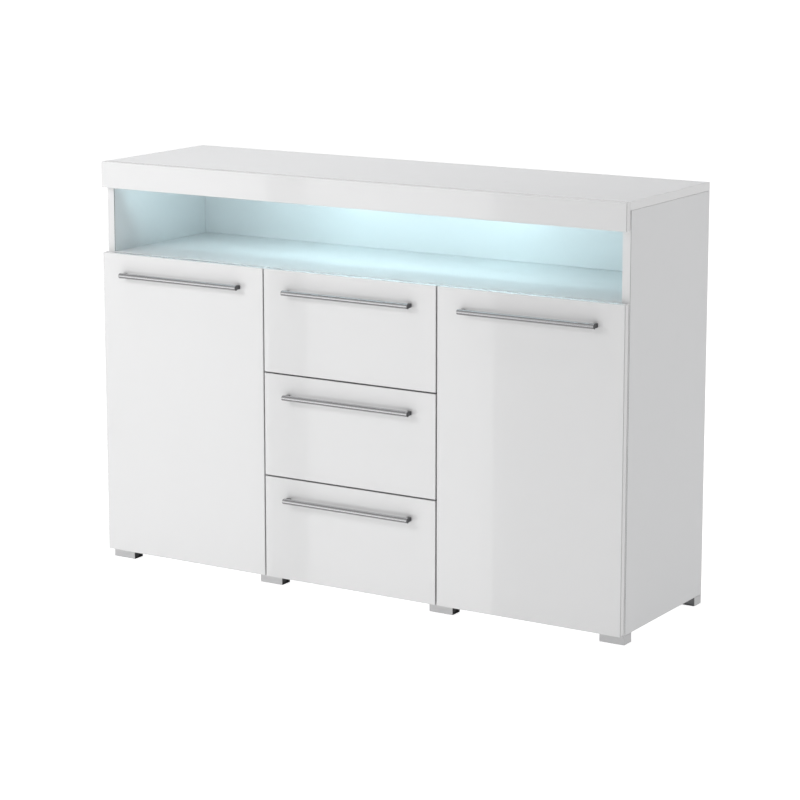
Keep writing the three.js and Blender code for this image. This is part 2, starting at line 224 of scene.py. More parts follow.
class EffectGroups:
    """Shader node groups that several finishes share, each built once."""

    def __init__(self) -> None:
        """Starts with no groups; each is built when a finish first asks for it."""
        self._built: dict[str, bpy.types.NodeTree] = {}

    def _start(self, name: str, defaults: dict[str, float],
               results: Sequence[str]) -> tuple[Graph, bpy.types.NodeOutputs, bpy.types.Node]:
        """Makes a group that takes a vector and some numbers, and puts out numbers.

        Args:
            name: The group's name.
            defaults: Default of each number that goes in.
            results: Names of the numbers that come out.

        Returns:
            The graph, the sockets of what is given and the node that takes the results.
        """
        tree = bpy.data.node_groups.new(name, "ShaderNodeTree")
        tree.interface.new_socket("Vector", in_out="INPUT", socket_type="NodeSocketVector")
        for label, default in defaults.items():
            socket = tree.interface.new_socket(label, in_out="INPUT", socket_type="NodeSocketFloat")
            socket.default_value = default
        for label in results:
            tree.interface.new_socket(label, in_out="OUTPUT", socket_type="NodeSocketFloat")
        graph = Graph(tree)
        self._built[name] = tree
        return graph, graph.node("NodeGroupInput").outputs, graph.node("NodeGroupOutput")

    def relief(self) -> bpy.types.NodeTree:
        """A fine, even relief of two noise layers.

        Returns:
            The group, which puts out a height.
        """
        name, times_finer, fine_share = "fine_relief", 3.7, 0.4
        if name not in self._built:
            graph, given, result = self._start(name, {"Scale": 400.0}, ("Height",))
            coarse = graph.noise(given["Vector"], given["Scale"], Detail=3.0, Roughness=0.55)
            finer = graph.maths("MULTIPLY", given["Scale"], times_finer)
            fine = graph.noise(given["Vector"], finer, Detail=2.0, Roughness=0.5)
            graph.feed(result, "Height", graph.maths("MULTIPLY_ADD", fine, fine_share, coarse))
        return self._built[name]

    def drift(self) -> bpy.types.NodeTree:
        """A slow change of tone over a surface, with a few faint handling marks.

        Returns:
            The group, which puts out a tone around 1 and a mask of the marks.
        """
        name, times_finer, mark_starts, mark_full = "tone_drift", 9.0, 0.56, 0.72
        if name not in self._built:
            graph, given, result = self._start(
                name, {"Scale": 3.0, "Amount": 0.02, "Marks": 0.02}, ("Tone", "Mask"))
            slow = graph.noise(given["Vector"], given["Scale"], Detail=4.0, Roughness=0.6)
            finer = graph.maths("MULTIPLY", given["Scale"], times_finer)
            cloud = graph.noise(given["Vector"], finer, Detail=6.0, Roughness=0.7, Distortion=0.6)
            marks = graph.band(cloud, mark_starts, mark_full)
            centred = graph.maths("SUBTRACT", slow, 0.5)
            tone = graph.maths("MULTIPLY_ADD", centred, given["Amount"], 1.0)
            dulled = graph.maths("MULTIPLY", marks, given["Marks"])
            graph.feed(result, "Tone", graph.maths("SUBTRACT", tone, dulled))
            graph.feed(result, "Mask", marks)
        return self._built[name]

    def streaks(self) -> bpy.types.NodeTree:
        """Long parallel brush lines.

        Returns:
            The group, which puts out a height.
        """
        name, times_broader, broad_share, level = "brush_streaks", 0.13, 0.35, 0.74
        if name not in self._built:
            graph, given, result = self._start(name, {"Scale": 900.0}, ("Height",))
            lines = graph.noise(given["Vector"], given["Scale"], Detail=5.0, Roughness=0.75)
            wider = graph.maths("MULTIPLY", given["Scale"], times_broader)
            broad = graph.noise(given["Vector"], wider, Detail=2.0)
            mixed = graph.maths("MULTIPLY_ADD", broad, broad_share, lines)
            graph.feed(result, "Height", graph.maths("MULTIPLY", mixed, level))
        return self._built[name]


EFFECTS = EffectGroups()


# ----------------------------------------------------------------------------- finishes
@dataclass(frozen=True)
class Finish:
    """A painted, laminated, moulded or metal surface.

    Attributes:
        name: Name of the material.
        colour: Base colour, linear.
        roughness: Mean roughness.
        roughness_spread: How far the roughness wanders from its mean.
        metallic: 1 for bare metal, 0 for the rest.
        relief_scale: Grains per metre of the fine relief.
        relief_depth: Strength of the relief as a bump.
        drift: Tone change over the surface.
        marks: How much the faint handling marks darken it.
        coat: Weight of a clear coat over it.
        coat_roughness: Roughness of that coat.
        stretch: Scale of the pattern along X, Y and Z.
        brushed: Whether the relief is brush lines and not grains.
    """

    name: str
    colour: Colour
    roughness: float
    roughness_spread: float = 0.04
    metallic: float = 0.0
    relief_scale: float = 400.0
    relief_depth: float = 0.05
    drift: float = 0.03
    marks: float = 0.01
    coat: float = 0.0
    coat_roughness: float = 0.03
    stretch: Place = (1.0, 1.0, 1.0)
    brushed: bool = False

    def material(self) -> bpy.types.Material:
        """Builds the material, or returns the one that is already there.

        Returns:
            The finished material.
        """
        found = bpy.data.materials.get(self.name)
        if found is not None:
            return found
        made = bpy.data.materials.new(self.name)
        made.use_nodes = True
        made.node_tree.nodes.clear()
        graph = Graph(made.node_tree)
        shader = graph.node("ShaderNodeBsdfPrincipled")
        output = graph.node("ShaderNodeOutputMaterial", Surface=shader.outputs[0])
        output.is_active_output = True
        where = object_coordinates(graph, self.stretch)
        tone = self.effect(graph, EFFECTS.drift(), where, Amount=self.drift, Marks=self.marks)
        graph.feed(shader, "Base Color", self.tinted(graph, tone.outputs["Tone"]))
        if self.brushed:
            relief = self.effect(graph, EFFECTS.streaks(), where, Scale=self.relief_scale)
        else:
            relief = self.effect(graph, EFFECTS.relief(), where, Scale=self.relief_scale)
        spread = graph.maths("MULTIPLY_ADD", relief.outputs["Height"], self.roughness_spread,
                             self.roughness - self.roughness_spread / 2)
        dulled = graph.maths("MULTIPLY_ADD", tone.outputs["Mask"], self.roughness_spread, spread)
        graph.feed(shader, "Roughness", self.matted(graph, dulled))
        bump = graph.node("ShaderNodeBump", Strength=self.relief_depth, Distance=MM,
                          Height=relief.outputs["Height"])
        graph.feed(shader, "Normal", bump.outputs[0])
        shader.inputs["Metallic"].default_value = self.metallic
        shader.inputs["Coat Weight"].default_value = self.coat
        shader.inputs["Coat Roughness"].default_value = self.coat_roughness
        self.extra(graph, shader, where)
        return made

    def effect(self, graph: Graph, tree: bpy.types.NodeTree, where: bpy.types.NodeSocket,
               **values: float) -> bpy.types.Node:
        """Places a shared effect group with this finish's own values.

        Args:
            graph: The material's graph.
            tree: The group to place.
            where: The coordinates it reads.
            **values: Values of its other inputs.

        Returns:
            The group node.
        """
        made = graph.node("ShaderNodeGroup", {"node_tree": tree})
        graph.feed(made, "Vector", where)
        for label, value in values.items():
            graph.feed(made, label, value)
        return made

    def tinted(self, graph: Graph, tone: bpy.types.NodeSocket) -> bpy.types.NodeSocket:
        """The base colour times the drifting tone.

        Args:
            graph: The material's graph.
            tone: Tone around 1.

        Returns:
            The colour socket.
        """
        return graph.node("ShaderNodeVectorMath", {"operation": "SCALE"}, Vector=self.colour,
                          Scale=tone).outputs[0]

    def matted(self, graph: Graph, roughness: bpy.types.NodeSocket) -> bpy.types.NodeSocket:
        """The roughness as it is; a finish with two sides overrides it."""
        return roughness

    def extra(self, graph: Graph, shader: bpy.types.Node, where: bpy.types.NodeSocket) -> None:
        """Adds nothing here; a finish with an effect of its own overrides it.

        Args:
            graph: The material's graph.
            shader: The material's shader node.
            where: The coordinates of its patterns.
        """


@dataclass(frozen=True)
class BoardBack(Finish):
    """Hardboard that is white inside and bare, pressed brown fibre behind.

    Attributes:
        fibre: Colour of the bare fibre.
        dark_fleck: Tone of its dark flecks beside that colour.
        fibre_from: The Y of the plane behind which the fibre shows.
    """

    fibre: Colour = (0.36, 0.22, 0.12)
    dark_fleck: float = 0.62
    fibre_from: float = 0.0

    def tinted(self, graph: Graph, tone: bpy.types.NodeSocket) -> bpy.types.NodeSocket:
        """White in front of the plane and mottled fibre behind it.

        Args:
            graph: The material's graph.
            tone: Tone around 1.

        Returns:
            The colour socket.
        """
        plain = super().tinted(graph, tone)
        behind = graph.band(graph.depth(), self.fibre_from - HAIR, self.fibre_from + HAIR)
        flecks = graph.noise(object_coordinates(graph, (1.0, 1.0, 2.4)), 650.0, Detail=6.0,
                             Roughness=0.75)
        dark = tuple(self.dark_fleck * part for part in self.fibre)
        fibre = graph.blend(graph.band(flecks, 0.35, 0.7), dark, self.fibre)
        return graph.blend(behind, plain, fibre)


@dataclass(frozen=True)
class GlossBoard(Finish):
    """High-gloss board whose edges show a dark line behind its front skin: the skin's joint, darkened
    as painted shade and left off the edges that look up.

    Attributes:
        line_near: Y where the line starts, behind the front face.
        line_far: Y where it ends.
        line_tone: Tone of the line beside the board's.
        looks_up: Z of a face's normal where the line fades, and where it has gone.
        back: Y of the board's back face, which is matt.
        back_roughness: Roughness of that face.
    """

    line_near: float = 0.0
    line_far: float = 0.0
    line_tone: float = 0.3
    looks_up: tuple[float, float] = (0.3, 0.6)
    back: float = 1.0
    back_roughness: float = 0.42

    def is_back(self, graph: Graph) -> bpy.types.NodeSocket:
        """A mask that is 1 on the back face."""
        return graph.band(graph.depth(), self.back - 6.0 * HAIR, self.back - 2.0 * HAIR)

    def matted(self, graph: Graph, roughness: bpy.types.NodeSocket) -> bpy.types.NodeSocket:
        """Matt on the back face.

        Args:
            graph: The material's graph.
            roughness: Roughness of the gloss.

        Returns:
            The roughness socket.
        """
        rougher = graph.maths("SUBTRACT", self.back_roughness, roughness)
        return graph.maths("MULTIPLY_ADD", rougher, self.is_back(graph), roughness)

    def extra(self, graph: Graph, shader: bpy.types.Node, where: bpy.types.NodeSocket) -> None:
        """Leaves the clear coat off the back face.

        Args:
            graph: The material's graph.
            shader: The material's shader node.
            where: The coordinates of its patterns.
        """
        graph.feed(shader, "Coat Weight", graph.maths("SUBTRACT", self.coat, self.is_back(graph)))

    def tinted(self, graph: Graph, tone: bpy.types.NodeSocket) -> bpy.types.NodeSocket:
        """White, with a darker line on the board's edges, apart from the one that looks up: the skin's
        joint with painted shade.

        Args:
            graph: The material's graph.
            tone: Tone around 1.

        Returns:
            The colour socket.
        """
        plain = super().tinted(graph, tone)
        depth = graph.depth()
        facing = graph.node("ShaderNodeNewGeometry").outputs["Normal"]
        rise = graph.node("ShaderNodeSeparateXYZ", Vector=facing).outputs["Z"]
        soft = 3.0 * HAIR
        starts = graph.band(depth, self.line_near - soft, self.line_near + soft)
        ends = graph.band(depth, self.line_far - soft, self.line_far + soft)
        # Painted shade: the joint line is kept off faces that look up, where light keeps the edge
        # bright.
        upright = graph.band(rise, *self.looks_up, 1.0, 0.0)
        line = graph.maths("MULTIPLY", graph.maths("SUBTRACT", starts, ends), upright)
        return graph.blend(line, plain, tuple(self.line_tone * part for part in self.colour))


@dataclass(frozen=True)
class LensGlow(Finish):
    """A frosted lens over a cool white lamp.

    Attributes:
        glow: Colour of the light.
        strength: Strength of the glow.
        dim: Tone of the frost's darker spots beside that colour.
    """

    glow: Colour = (0.6, 0.95, 1.0)
    strength: float = 4.0
    dim: float = 0.85

    def extra(self, graph: Graph, shader: bpy.types.Node, where: bpy.types.NodeSocket) -> None:
        """Adds the glow, a little uneven over the frosted lens.

        Args:
            graph: The material's graph.
            shader: The material's shader node.
            where: The coordinates of its patterns.
        """
        even = graph.band(graph.noise(where, 900.0, Detail=2.0), 0.2, 0.8)
        darker = tuple(self.dim * part for part in self.glow)
        graph.feed(shader, "Emission Color", graph.blend(even, darker, self.glow))
        shader.inputs["Emission Strength"].default_value = self.strength


FRONT_FACE, FRONT_BACK = (corner.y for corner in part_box("top_fascia"))
SKIN = 1.3 * MM
# Width of the dark edge line on the gloss: the skin's joint, darkened as painted shade.
SKIN_JOINT_AND_SHADE = 1.6 * MM
GLOSS = GlossBoard("white_gloss_front", (0.80, 0.80, 0.803), 0.09, 0.02, relief_scale=160.0,
                   relief_depth=0.006, drift=0.012, marks=0.003, coat=1.0, coat_roughness=0.02,
                   line_near=FRONT_FACE + SKIN, line_far=FRONT_FACE + SKIN + SKIN_JOINT_AND_SHADE,
                   back=FRONT_BACK)
# Near-black line behind the side panels' bands: their joint, darkened as painted shade of the groove.
JOINT_PAINTED_SHADE = Finish("dark_glue_line", (0.09, 0.085, 0.08), 0.6, 0.1, relief_scale=900.0,
              relief_depth=0.2, drift=0.2, marks=0.0)
LAMINATE = Finish("white_laminate_board", (0.755, 0.758, 0.765), 0.46, 0.10, relief_scale=1500.0,
                  relief_depth=0.16, drift=0.02, marks=0.008)
EDGING = Finish("white_edge_band", (0.82, 0.82, 0.823), 0.30, 0.06, relief_scale=900.0,
                relief_depth=0.08, drift=0.01, marks=0.01)
# A darker copy of the handles' metal for the grip's ends and the legs: painted shade.
HANDLE_PAINTED_SHADE = Finish("handle_metal_painted_shade", (0.13, 0.13, 0.135), 0.33, 0.12, 1.0, 900.0, 0.08, 0.05, 0.02)
SATIN = Finish("satin_brushed_metal", (0.62, 0.62, 0.63), 0.20, 0.12, 1.0, 1500.0, 0.05,
               0.05, 0.03, stretch=(0.02, 1.0, 1.0), brushed=True)
SILVER = Finish("silver_lacquered_cover", (0.64, 0.64, 0.645), 0.32, 0.10, 0.35, 1900.0, 0.07,
                0.04, 0.02)
BLACK = Finish("black_moulded_plastic", (0.022, 0.022, 0.024), 0.5, 0.12, 0.0, 1200.0, 0.3,
               0.2, 0.0)
# A lighter grey copy of the black plastic for the rear feet: painted reflected light.
BLACK_PAINTED_LIGHT = Finish("black_plastic_painted_light", (0.16, 0.16, 0.165), 0.45, 0.12, 0.0, 1200.0, 0.3,
              0.1, 0.0)
ZINC = Finish("bright_zinc_steel", (0.56, 0.57, 0.58), 0.28, 0.16, 1.0, 500.0, 0.06, 0.10, 0.05)
EPOXY = Finish("white_epoxy_steel", (0.72, 0.72, 0.715), 0.38, 0.08, 0.0, 260.0, 0.10, 0.02, 0.02)
NYLON = Finish("white_nylon_roller", (0.70, 0.70, 0.68), 0.42, 0.08, 0.0, 900.0, 0.08, 0.03, 0.02)
FOIL = Finish("white_foil_board", (0.74, 0.742, 0.745), 0.55, 0.10, 0.0, 1100.0, 0.18, 0.02, 0.01)
BUFFER = Finish("clear_soft_buffer", (0.62, 0.64, 0.64), 0.25, 0.06, 0.0, 300.0, 0.05, 0.03, 0.0)
HOUSING = Finish("white_light_housing", (0.78, 0.80, 0.80), 0.3, 0.06, 0.0, 900.0, 0.06, 0.02, 0.01)
LENS = LensGlow("cool_white_lens", (0.75, 0.9, 0.92), 0.35)


# ----------------------------------------------------------------------------- shaping
class Shape:
    """One mesh under construction, made with bmesh operators in the shared frame."""

    def __init__(self) -> None:
        """Starts an empty mesh."""
        self.bm = bmesh.new()

    def block(self, low: Vector, high: Vector, radius: float = 0.0, segments: int = 3) -> "Shape":
        """Adds a block with rounded edges.

        Args:
            low: Its lowest corner.
            high: Its highest corner.
            radius: Radius of all its edges, or 0 for sharp ones.
            segments: Faces across each rounded edge.

        Returns:
            This shape.
        """
        size = high - low
        place = Matrix.LocRotScale((low + high) / 2, None, size)
        made = bmesh.ops.create_cube(self.bm, size=1.0, matrix=place)["verts"]
        if radius > 0.0:
            edges = list({edge for vert in made for edge in vert.link_edges})
            self.round_edges(edges, radius, segments)
        return self

    def round_edges(self, edges: Iterable[bmesh.types.BMEdge], radius: float,
                    segments: int = 3) -> None:
        """Bevels edges to a round profile.

        Args:
            edges: The edges to round.
            radius: The offset of the bevel.
            segments: Faces across it.
        """
        bmesh.ops.bevel(self.bm, geom=list(edges), offset=radius, offset_type="OFFSET",
                        segments=segments, profile=0.5, affect="EDGES", material=-1,
                        clamp_overlap=True)

    def turned(self, profile: Sequence[tuple[float, float]], centre: Place, axis: Axis,
               steps: int = 32) -> "Shape":
        """Spins a profile about an axis.

        Args:
            profile: Points of radius and height along the axis, from the first to the last.
            centre: Where height 0 lies.
            axis: The direction of the axis.
            steps: Faces round it.

        Returns:
            This shape.
        """
        along = axis.value
        out = Axis.Z.value if axis is not Axis.Z else Axis.X.value
        middle = Vector(centre)
        points = [self.bm.verts.new(middle + out * r + along * h) for r, h in profile]
        edges = [self.bm.edges.new(pair) for pair in zip(points, points[1:])]
        bmesh.ops.spin(self.bm, geom=points + edges, cent=middle, axis=along,
                       angle=2.0 * math.pi, steps=steps, use_merge=True)
        return self

    def prism(self, outline: Sequence[Vector], move: Vector) -> list[bmesh.types.BMFace]:
        """Extrudes a flat outline.

        Args:
            outline: Its corners in order.
            move: How far and where it is extruded.

        Returns:
            The faces of the prism.
        """
        base = self.bm.faces.new([self.bm.verts.new(corner) for corner in outline])
        grown = bmesh.ops.extrude_face_region(self.bm, geom=[base], use_keep_orig=True)["geom"]
        verts = [item for item in grown if isinstance(item, bmesh.types.BMVert)]
        bmesh.ops.translate(self.bm, verts=verts, vec=move)
        faces = {face for vert in verts for face in vert.link_faces}
        return [base, *faces]

    def screw(self, centre: Place, axis: Axis, sign: int, radius: float, height: float) -> "Shape":
        """Adds a screw head with a four-pointed recess.

        Args:
            centre: Where the head meets the surface.
            axis: The axis that the head looks along.
            sign: 1 or -1, which way along that axis.
            radius: Radius of the head.
            height: How far it stands proud.

        Returns:
            This shape.
        """
        steps, rise = 24, height * sign
        recess, slim, arm_stretch, waist_stretch = 0.31, 0.1, 1.6, 0.5
        socket = radius * recess
        before = set(self.bm.verts)
        self.turned([(0.0, rise * 0.3), (socket * 0.8, rise * 0.3), (socket, rise),
                     (radius * 0.72, rise), (radius * 0.92, rise * 0.75), (radius, rise * 0.35),
                     (radius, 0.0), (0.0, 0.0)], centre, axis, steps)
        first, other = [way for way in Axis if way is not axis]
        for vert in set(self.bm.verts) - before:
            arm = vert.co - Vector(centre)
            along, across = arm.dot(first.value), arm.dot(other.value)
            reach = math.hypot(along, across)
            if HAIR < reach < socket + HAIR:
                on_arm = min(abs(along), abs(across)) < reach * slim
                stretch = arm_stretch if on_arm else waist_stretch
                vert.co += (first.value * along + other.value * across) * (stretch - 1.0)
        return self

    def copied(self, node: str, radius: float, segments: int = 2,
               sharp: float = 28.0) -> "Shape":
        """Adds a merged copy of a frame node, with its sharp edges rounded.

        Args:
            node: The node to copy.
            radius: Radius of its edges, or 0 to leave them.
            segments: Faces across each rounded edge.
            sharp: Edges that turn by more than this many degrees are rounded.

        Returns:
            This shape.
        """
        self.bm.from_mesh(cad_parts[node].data)
        bmesh.ops.remove_doubles(self.bm, verts=self.bm.verts, dist=2e-6)
        bmesh.ops.dissolve_limit(self.bm, angle_limit=math.radians(0.5), verts=self.bm.verts,
                                 edges=self.bm.edges, use_dissolve_boundaries=False)
        if radius > 0.0:
            limit = math.radians(sharp)
            edges = [edge for edge in self.bm.edges
                     if len(edge.link_faces) == 2 and edge.calc_face_angle(0.0) > limit]
            self.round_edges(edges, radius, segments)
        return self

    def piece(self, name: str, finish: Finish, body: str, slot: Slot | None = None,
              stands_for: Sequence[str] = (), second: Finish | None = None,
              soft_angle: float = 38.0) -> bpy.types.Object:
        """Closes the mesh and hands it over as a riding piece.

        Args:
            name: The piece's name.
            finish: What it is finished in.
            body: The frame body that it rides on.
            slot: The record's material slot, if it takes one; not used.
            stands_for: Frame nodes that it replaces.
            second: Finish of the faces whose material index is 1.
            soft_angle: Edges that turn by less than this many degrees are shaded smooth.

        Returns:
            The finished object.
        """
        bmesh.ops.remove_doubles(self.bm, verts=self.bm.verts, dist=1e-6)
        loose = [vert for vert in self.bm.verts if not vert.link_faces]
        bmesh.ops.delete(self.bm, geom=loose, context="VERTS")
        bmesh.ops.recalc_face_normals(self.bm, faces=self.bm.faces)
        mesh = bpy.data.meshes.new(name)
        self.bm.to_mesh(mesh)
        self.bm.free()
        mesh.shade_smooth()
        mesh.set_sharp_from_angle(angle=math.radians(soft_angle))
        mesh.materials.append(finish.material())
        if second is not None:
            mesh.materials.append(second.material())
        made = bpy.data.objects.new(name, mesh)
        bpy.context.scene.collection.objects.link(made)
        flat = made.modifiers.new("flat_faces_stay_flat", "WEIGHTED_NORMAL")
        flat.keep_sharp = True
        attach(made, body)
        if stands_for:
            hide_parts(*stands_for)
        return made


def report(group: str, made: Sequence[bpy.types.Object]) -> None:
    """Logs what a sub-assembly built.

    Args:
        group: The sub-assembly's name.
        made: Its pieces.
    """
    for item in made:
        log.info("%s: %s, %d faces", group, item.name, len(item.data.polygons))


def area_light(name: str, outline: str, place: Place, turn: Quaternion,
               size: tuple[float, float], power: float, colour: Colour = (1.0, 1.0, 1.0)) -> None:
    """Adds a soft light that isn't mirrored in the gloss.

    Args:
        name: Its name.
        outline: RECTANGLE or ELLIPSE.
        place: Its centre.
        turn: Its turn from looking straight down.
        size: Its width and height.
        power: Its power in watts.
        colour: Its colour.
    """
    data = bpy.data.lights.new(name, "AREA")
    data.shape, data.size, data.size_y = outline, *size
    data.energy, data.color = power, colour
    light = bpy.data.objects.new(name, data)
    light.location = place
    light.rotation_mode = "QUATERNION"
    light.rotation_quaternion = turn
    light.visible_glossy = False
    bpy.context.scene.collection.objects.link(light)


# ----------------------------------------------------------------------------- boards
@dataclass
class Boards:
    """The carcass boards: laminated cores with an edge band on the edges that face forwards.

    Attributes:
        band: Thickness of an edge band.
        joint: Width of the hairline behind a band.
        glue_line: Width of the dark line behind the bands of the two side panels.
        sunk: How far that line lies below the board's faces.
        band_round: Radius of a band's edges, as a share of its thickness.
        end_round: The same for the bands on the top panel's ends.
        joint_shade_round: Radius of the dark line's edges.
        core_round: Eased edges of the laminated board.
        panel_round: Eased edges of the side panels, which leave a shadow line under the top.
        sheet_round: Eased edges of the thin back panel.
        banded: Boards with a band on the front edge.
    """

    band: float = 1.6 * MM
    joint: float = 0.25 * MM
    joint_shade_line: float = 1.3 * MM
    sunk: float = 0.3 * MM
    band_round: float = 0.45
    end_round: float = 0.48
    joint_shade_round: float = 0.1 * MM
    core_round: float = 0.45 * MM
    panel_round: float = 1.1 * MM
    sheet_round: float = 0.2 * MM
    banded: tuple[str, ...] = ("left_divider", "right_divider", "bottom_panel", "niche_shelf",
                               "left_shelf", "right_shelf")

    def build(self) -> list[bpy.types.Object]:
        """Builds every carcass board.

        Returns:
            The pieces.
        """
        made = [piece for node in self.banded
                for piece in self.banded_board(node, self.joint, self.core_round)]
        for side in SIDES:
            node = f"{side}_side_panel"
            made += self.banded_board(node, self.joint_shade_line, self.panel_round)
            # Dark joint line behind the band, partly painted shade of the groove.
            made.append(self.joint_shade_strip(node))
        made.append(self.plain_board("niche_back_panel"))
        made += self.top()
        made.append(self.back())
        return made

    def banded_board(self, node: str, joint: float, radius: float) -> list[bpy.types.Object]:
        """A board with a band along its front edge.

        Args:
            node: The frame node that it stands for.
            joint: Width of the joint behind the band.
            radius: Radius of the board's eased edges.

        Returns:
            The core and its band.
        """
        low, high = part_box(node)
        core_low = Vector((low.x, low.y + self.band + joint, low.z))
        core = Shape().block(core_low, high, radius)
        strip_high = Vector((high.x, low.y + self.band, high.z))
        strip = Shape().block(low, strip_high, self.band * self.band_round, 4)
        return [core.piece(f"{node}_board", LAMINATE, CARCASS, Slot.LAMINATE, (node,)),
                strip.piece(f"{node}_edge_band", EDGING, CARCASS, Slot.LAMINATE)]

    def joint_shade_strip(self, node: str) -> bpy.types.Object:
        """The dark line between a side panel and its band, just below their faces: the band's joint
        made near-black as painted shade of the groove there.

        Args:
            node: The side panel's node.

        Returns:
            The line.
        """
        low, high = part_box(node)
        inset = Vector((self.sunk, 0.0, self.sunk))
        line_low = Vector((low.x, low.y + self.band - HAIR, low.z)) + inset
        line_high = Vector((high.x, low.y + self.band + self.joint_shade_line + HAIR, high.z)) - inset
        line = Shape().block(line_low, line_high, self.joint_shade_round, 2)
        return line.piece(f"{node}_glue_line", JOINT_PAINTED_SHADE, CARCASS)

    def plain_board(self, node: str) -> bpy.types.Object:
        """A board with eased edges and no band.

        Args:
            node: The frame node that it stands for.

        Returns:
            The board.
        """
        low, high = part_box(node)
        board = Shape().block(low, high, self.core_round)
        return board.piece(f"{node}_board", LAMINATE, CARCASS, Slot.LAMINATE, (node,))

    def top(self) -> list[bpy.types.Object]:
        """The top panel, with bands on its two ends, closed against the fascia.

        Returns:
            The core and its bands.
        """
        low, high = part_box("top_panel")
        seam = FRONT_BACK + HAIR
        inset = self.band + self.joint
        core = Shape().block(Vector((low.x + inset, seam, low.z)),
                             Vector((high.x - inset, high.y, high.z)))
        front = [edge for edge in core.bm.edges
                 if max(vert.co.y for vert in edge.verts) < seam + HAIR]
        core.round_edges([edge for edge in core.bm.edges if edge not in front], self.core_round)
        made = [core.piece("top_panel_board", LAMINATE, CARCASS, Slot.LAMINATE, ("top_panel",))]
        ends = {"left": (low.x, low.x + self.band), "right": (high.x - self.band, high.x)}
        for side, (x0, x1) in ends.items():
            strip = Shape().block(Vector((x0, low.y, low.z)), Vector((x1, high.y, high.z)),
                                  self.band * self.end_round, 4)
            made.append(strip.piece(f"top_panel_{side}_edge_band", EDGING, CARCASS, Slot.LAMINATE))
        return made

    def back(self) -> bpy.types.Object:
        """The thin back panel, white inside and bare fibre behind.

        Returns:
            The panel.
        """
        low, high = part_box("back_panel")
        finish = BoardBack("white_faced_hardboard", (0.74, 0.742, 0.745), 0.5, 0.1,
                           relief_scale=700.0, relief_depth=0.15, drift=0.05, marks=0.02,
                           fibre_from=(low.y + high.y) / 2)
        panel = Shape().block(low, high, self.sheet_round, 2)
        return panel.piece("back_panel_hardboard", finish, CARCASS, Slot.LAMINATE, ("back_panel",))


@dataclass
class Fascia:
    """The gloss board in front of the top.

    Attributes:
        edge: Radius of the gloss edges.
    """

    edge: float = 1.1 * MM

    def build(self) -> list[bpy.types.Object]:
        """Builds the fascia, sharp only where the top panel meets it.

        Returns:
            The pieces.
        """
        low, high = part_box("top_fascia")
        board = Shape().block(low, high)
        seam = [edge for edge in board.bm.edges
                if all(vert.co.y > high.y - HAIR and vert.co.z > high.z - HAIR
                       for vert in edge.verts)]
        others = [edge for edge in board.bm.edges if edge not in seam]
        board.round_edges(others, self.edge, 4)
        return [board.piece("top_fascia_board", GLOSS, CARCASS, Slot.GLOSS, ("top_fascia",))]


# ----------------------------------------------------------------------------- fronts
@dataclass
class Fronts:
    """Door panels and drawer fronts in gloss white.

    Attributes:
        door_edge: Radius of the doors' edges.
        door_corner: Angle in degrees past which an edge of a door is rounded.
        drawer_edge: Radius of the drawer fronts' edges.
    """

    door_edge: float = 0.5 * MM
    door_corner: float = 40.0
    drawer_edge: float = 1.1 * MM

    def build(self) -> list[bpy.types.Object]:
        """Builds the two doors and three drawer fronts.

        Returns:
            The pieces.
        """
        made = []
        for side in SIDES:
            node = f"{side}_door_panel"
            panel = Shape().copied(node, self.door_edge, 3, self.door_corner)
            made.append(panel.piece(f"{side}_door_gloss_panel", GLOSS, f"{side}_door",
                                    Slot.GLOSS, (node,)))
        for drawer in DRAWERS:
            low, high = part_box(f"{drawer}_front")
            panel = Shape().block(low, high, self.drawer_edge, 4)
            made.append(panel.piece(f"{drawer}_gloss_front", GLOSS, drawer, Slot.GLOSS,
                                    (f"{drawer}_front",)))
        return made


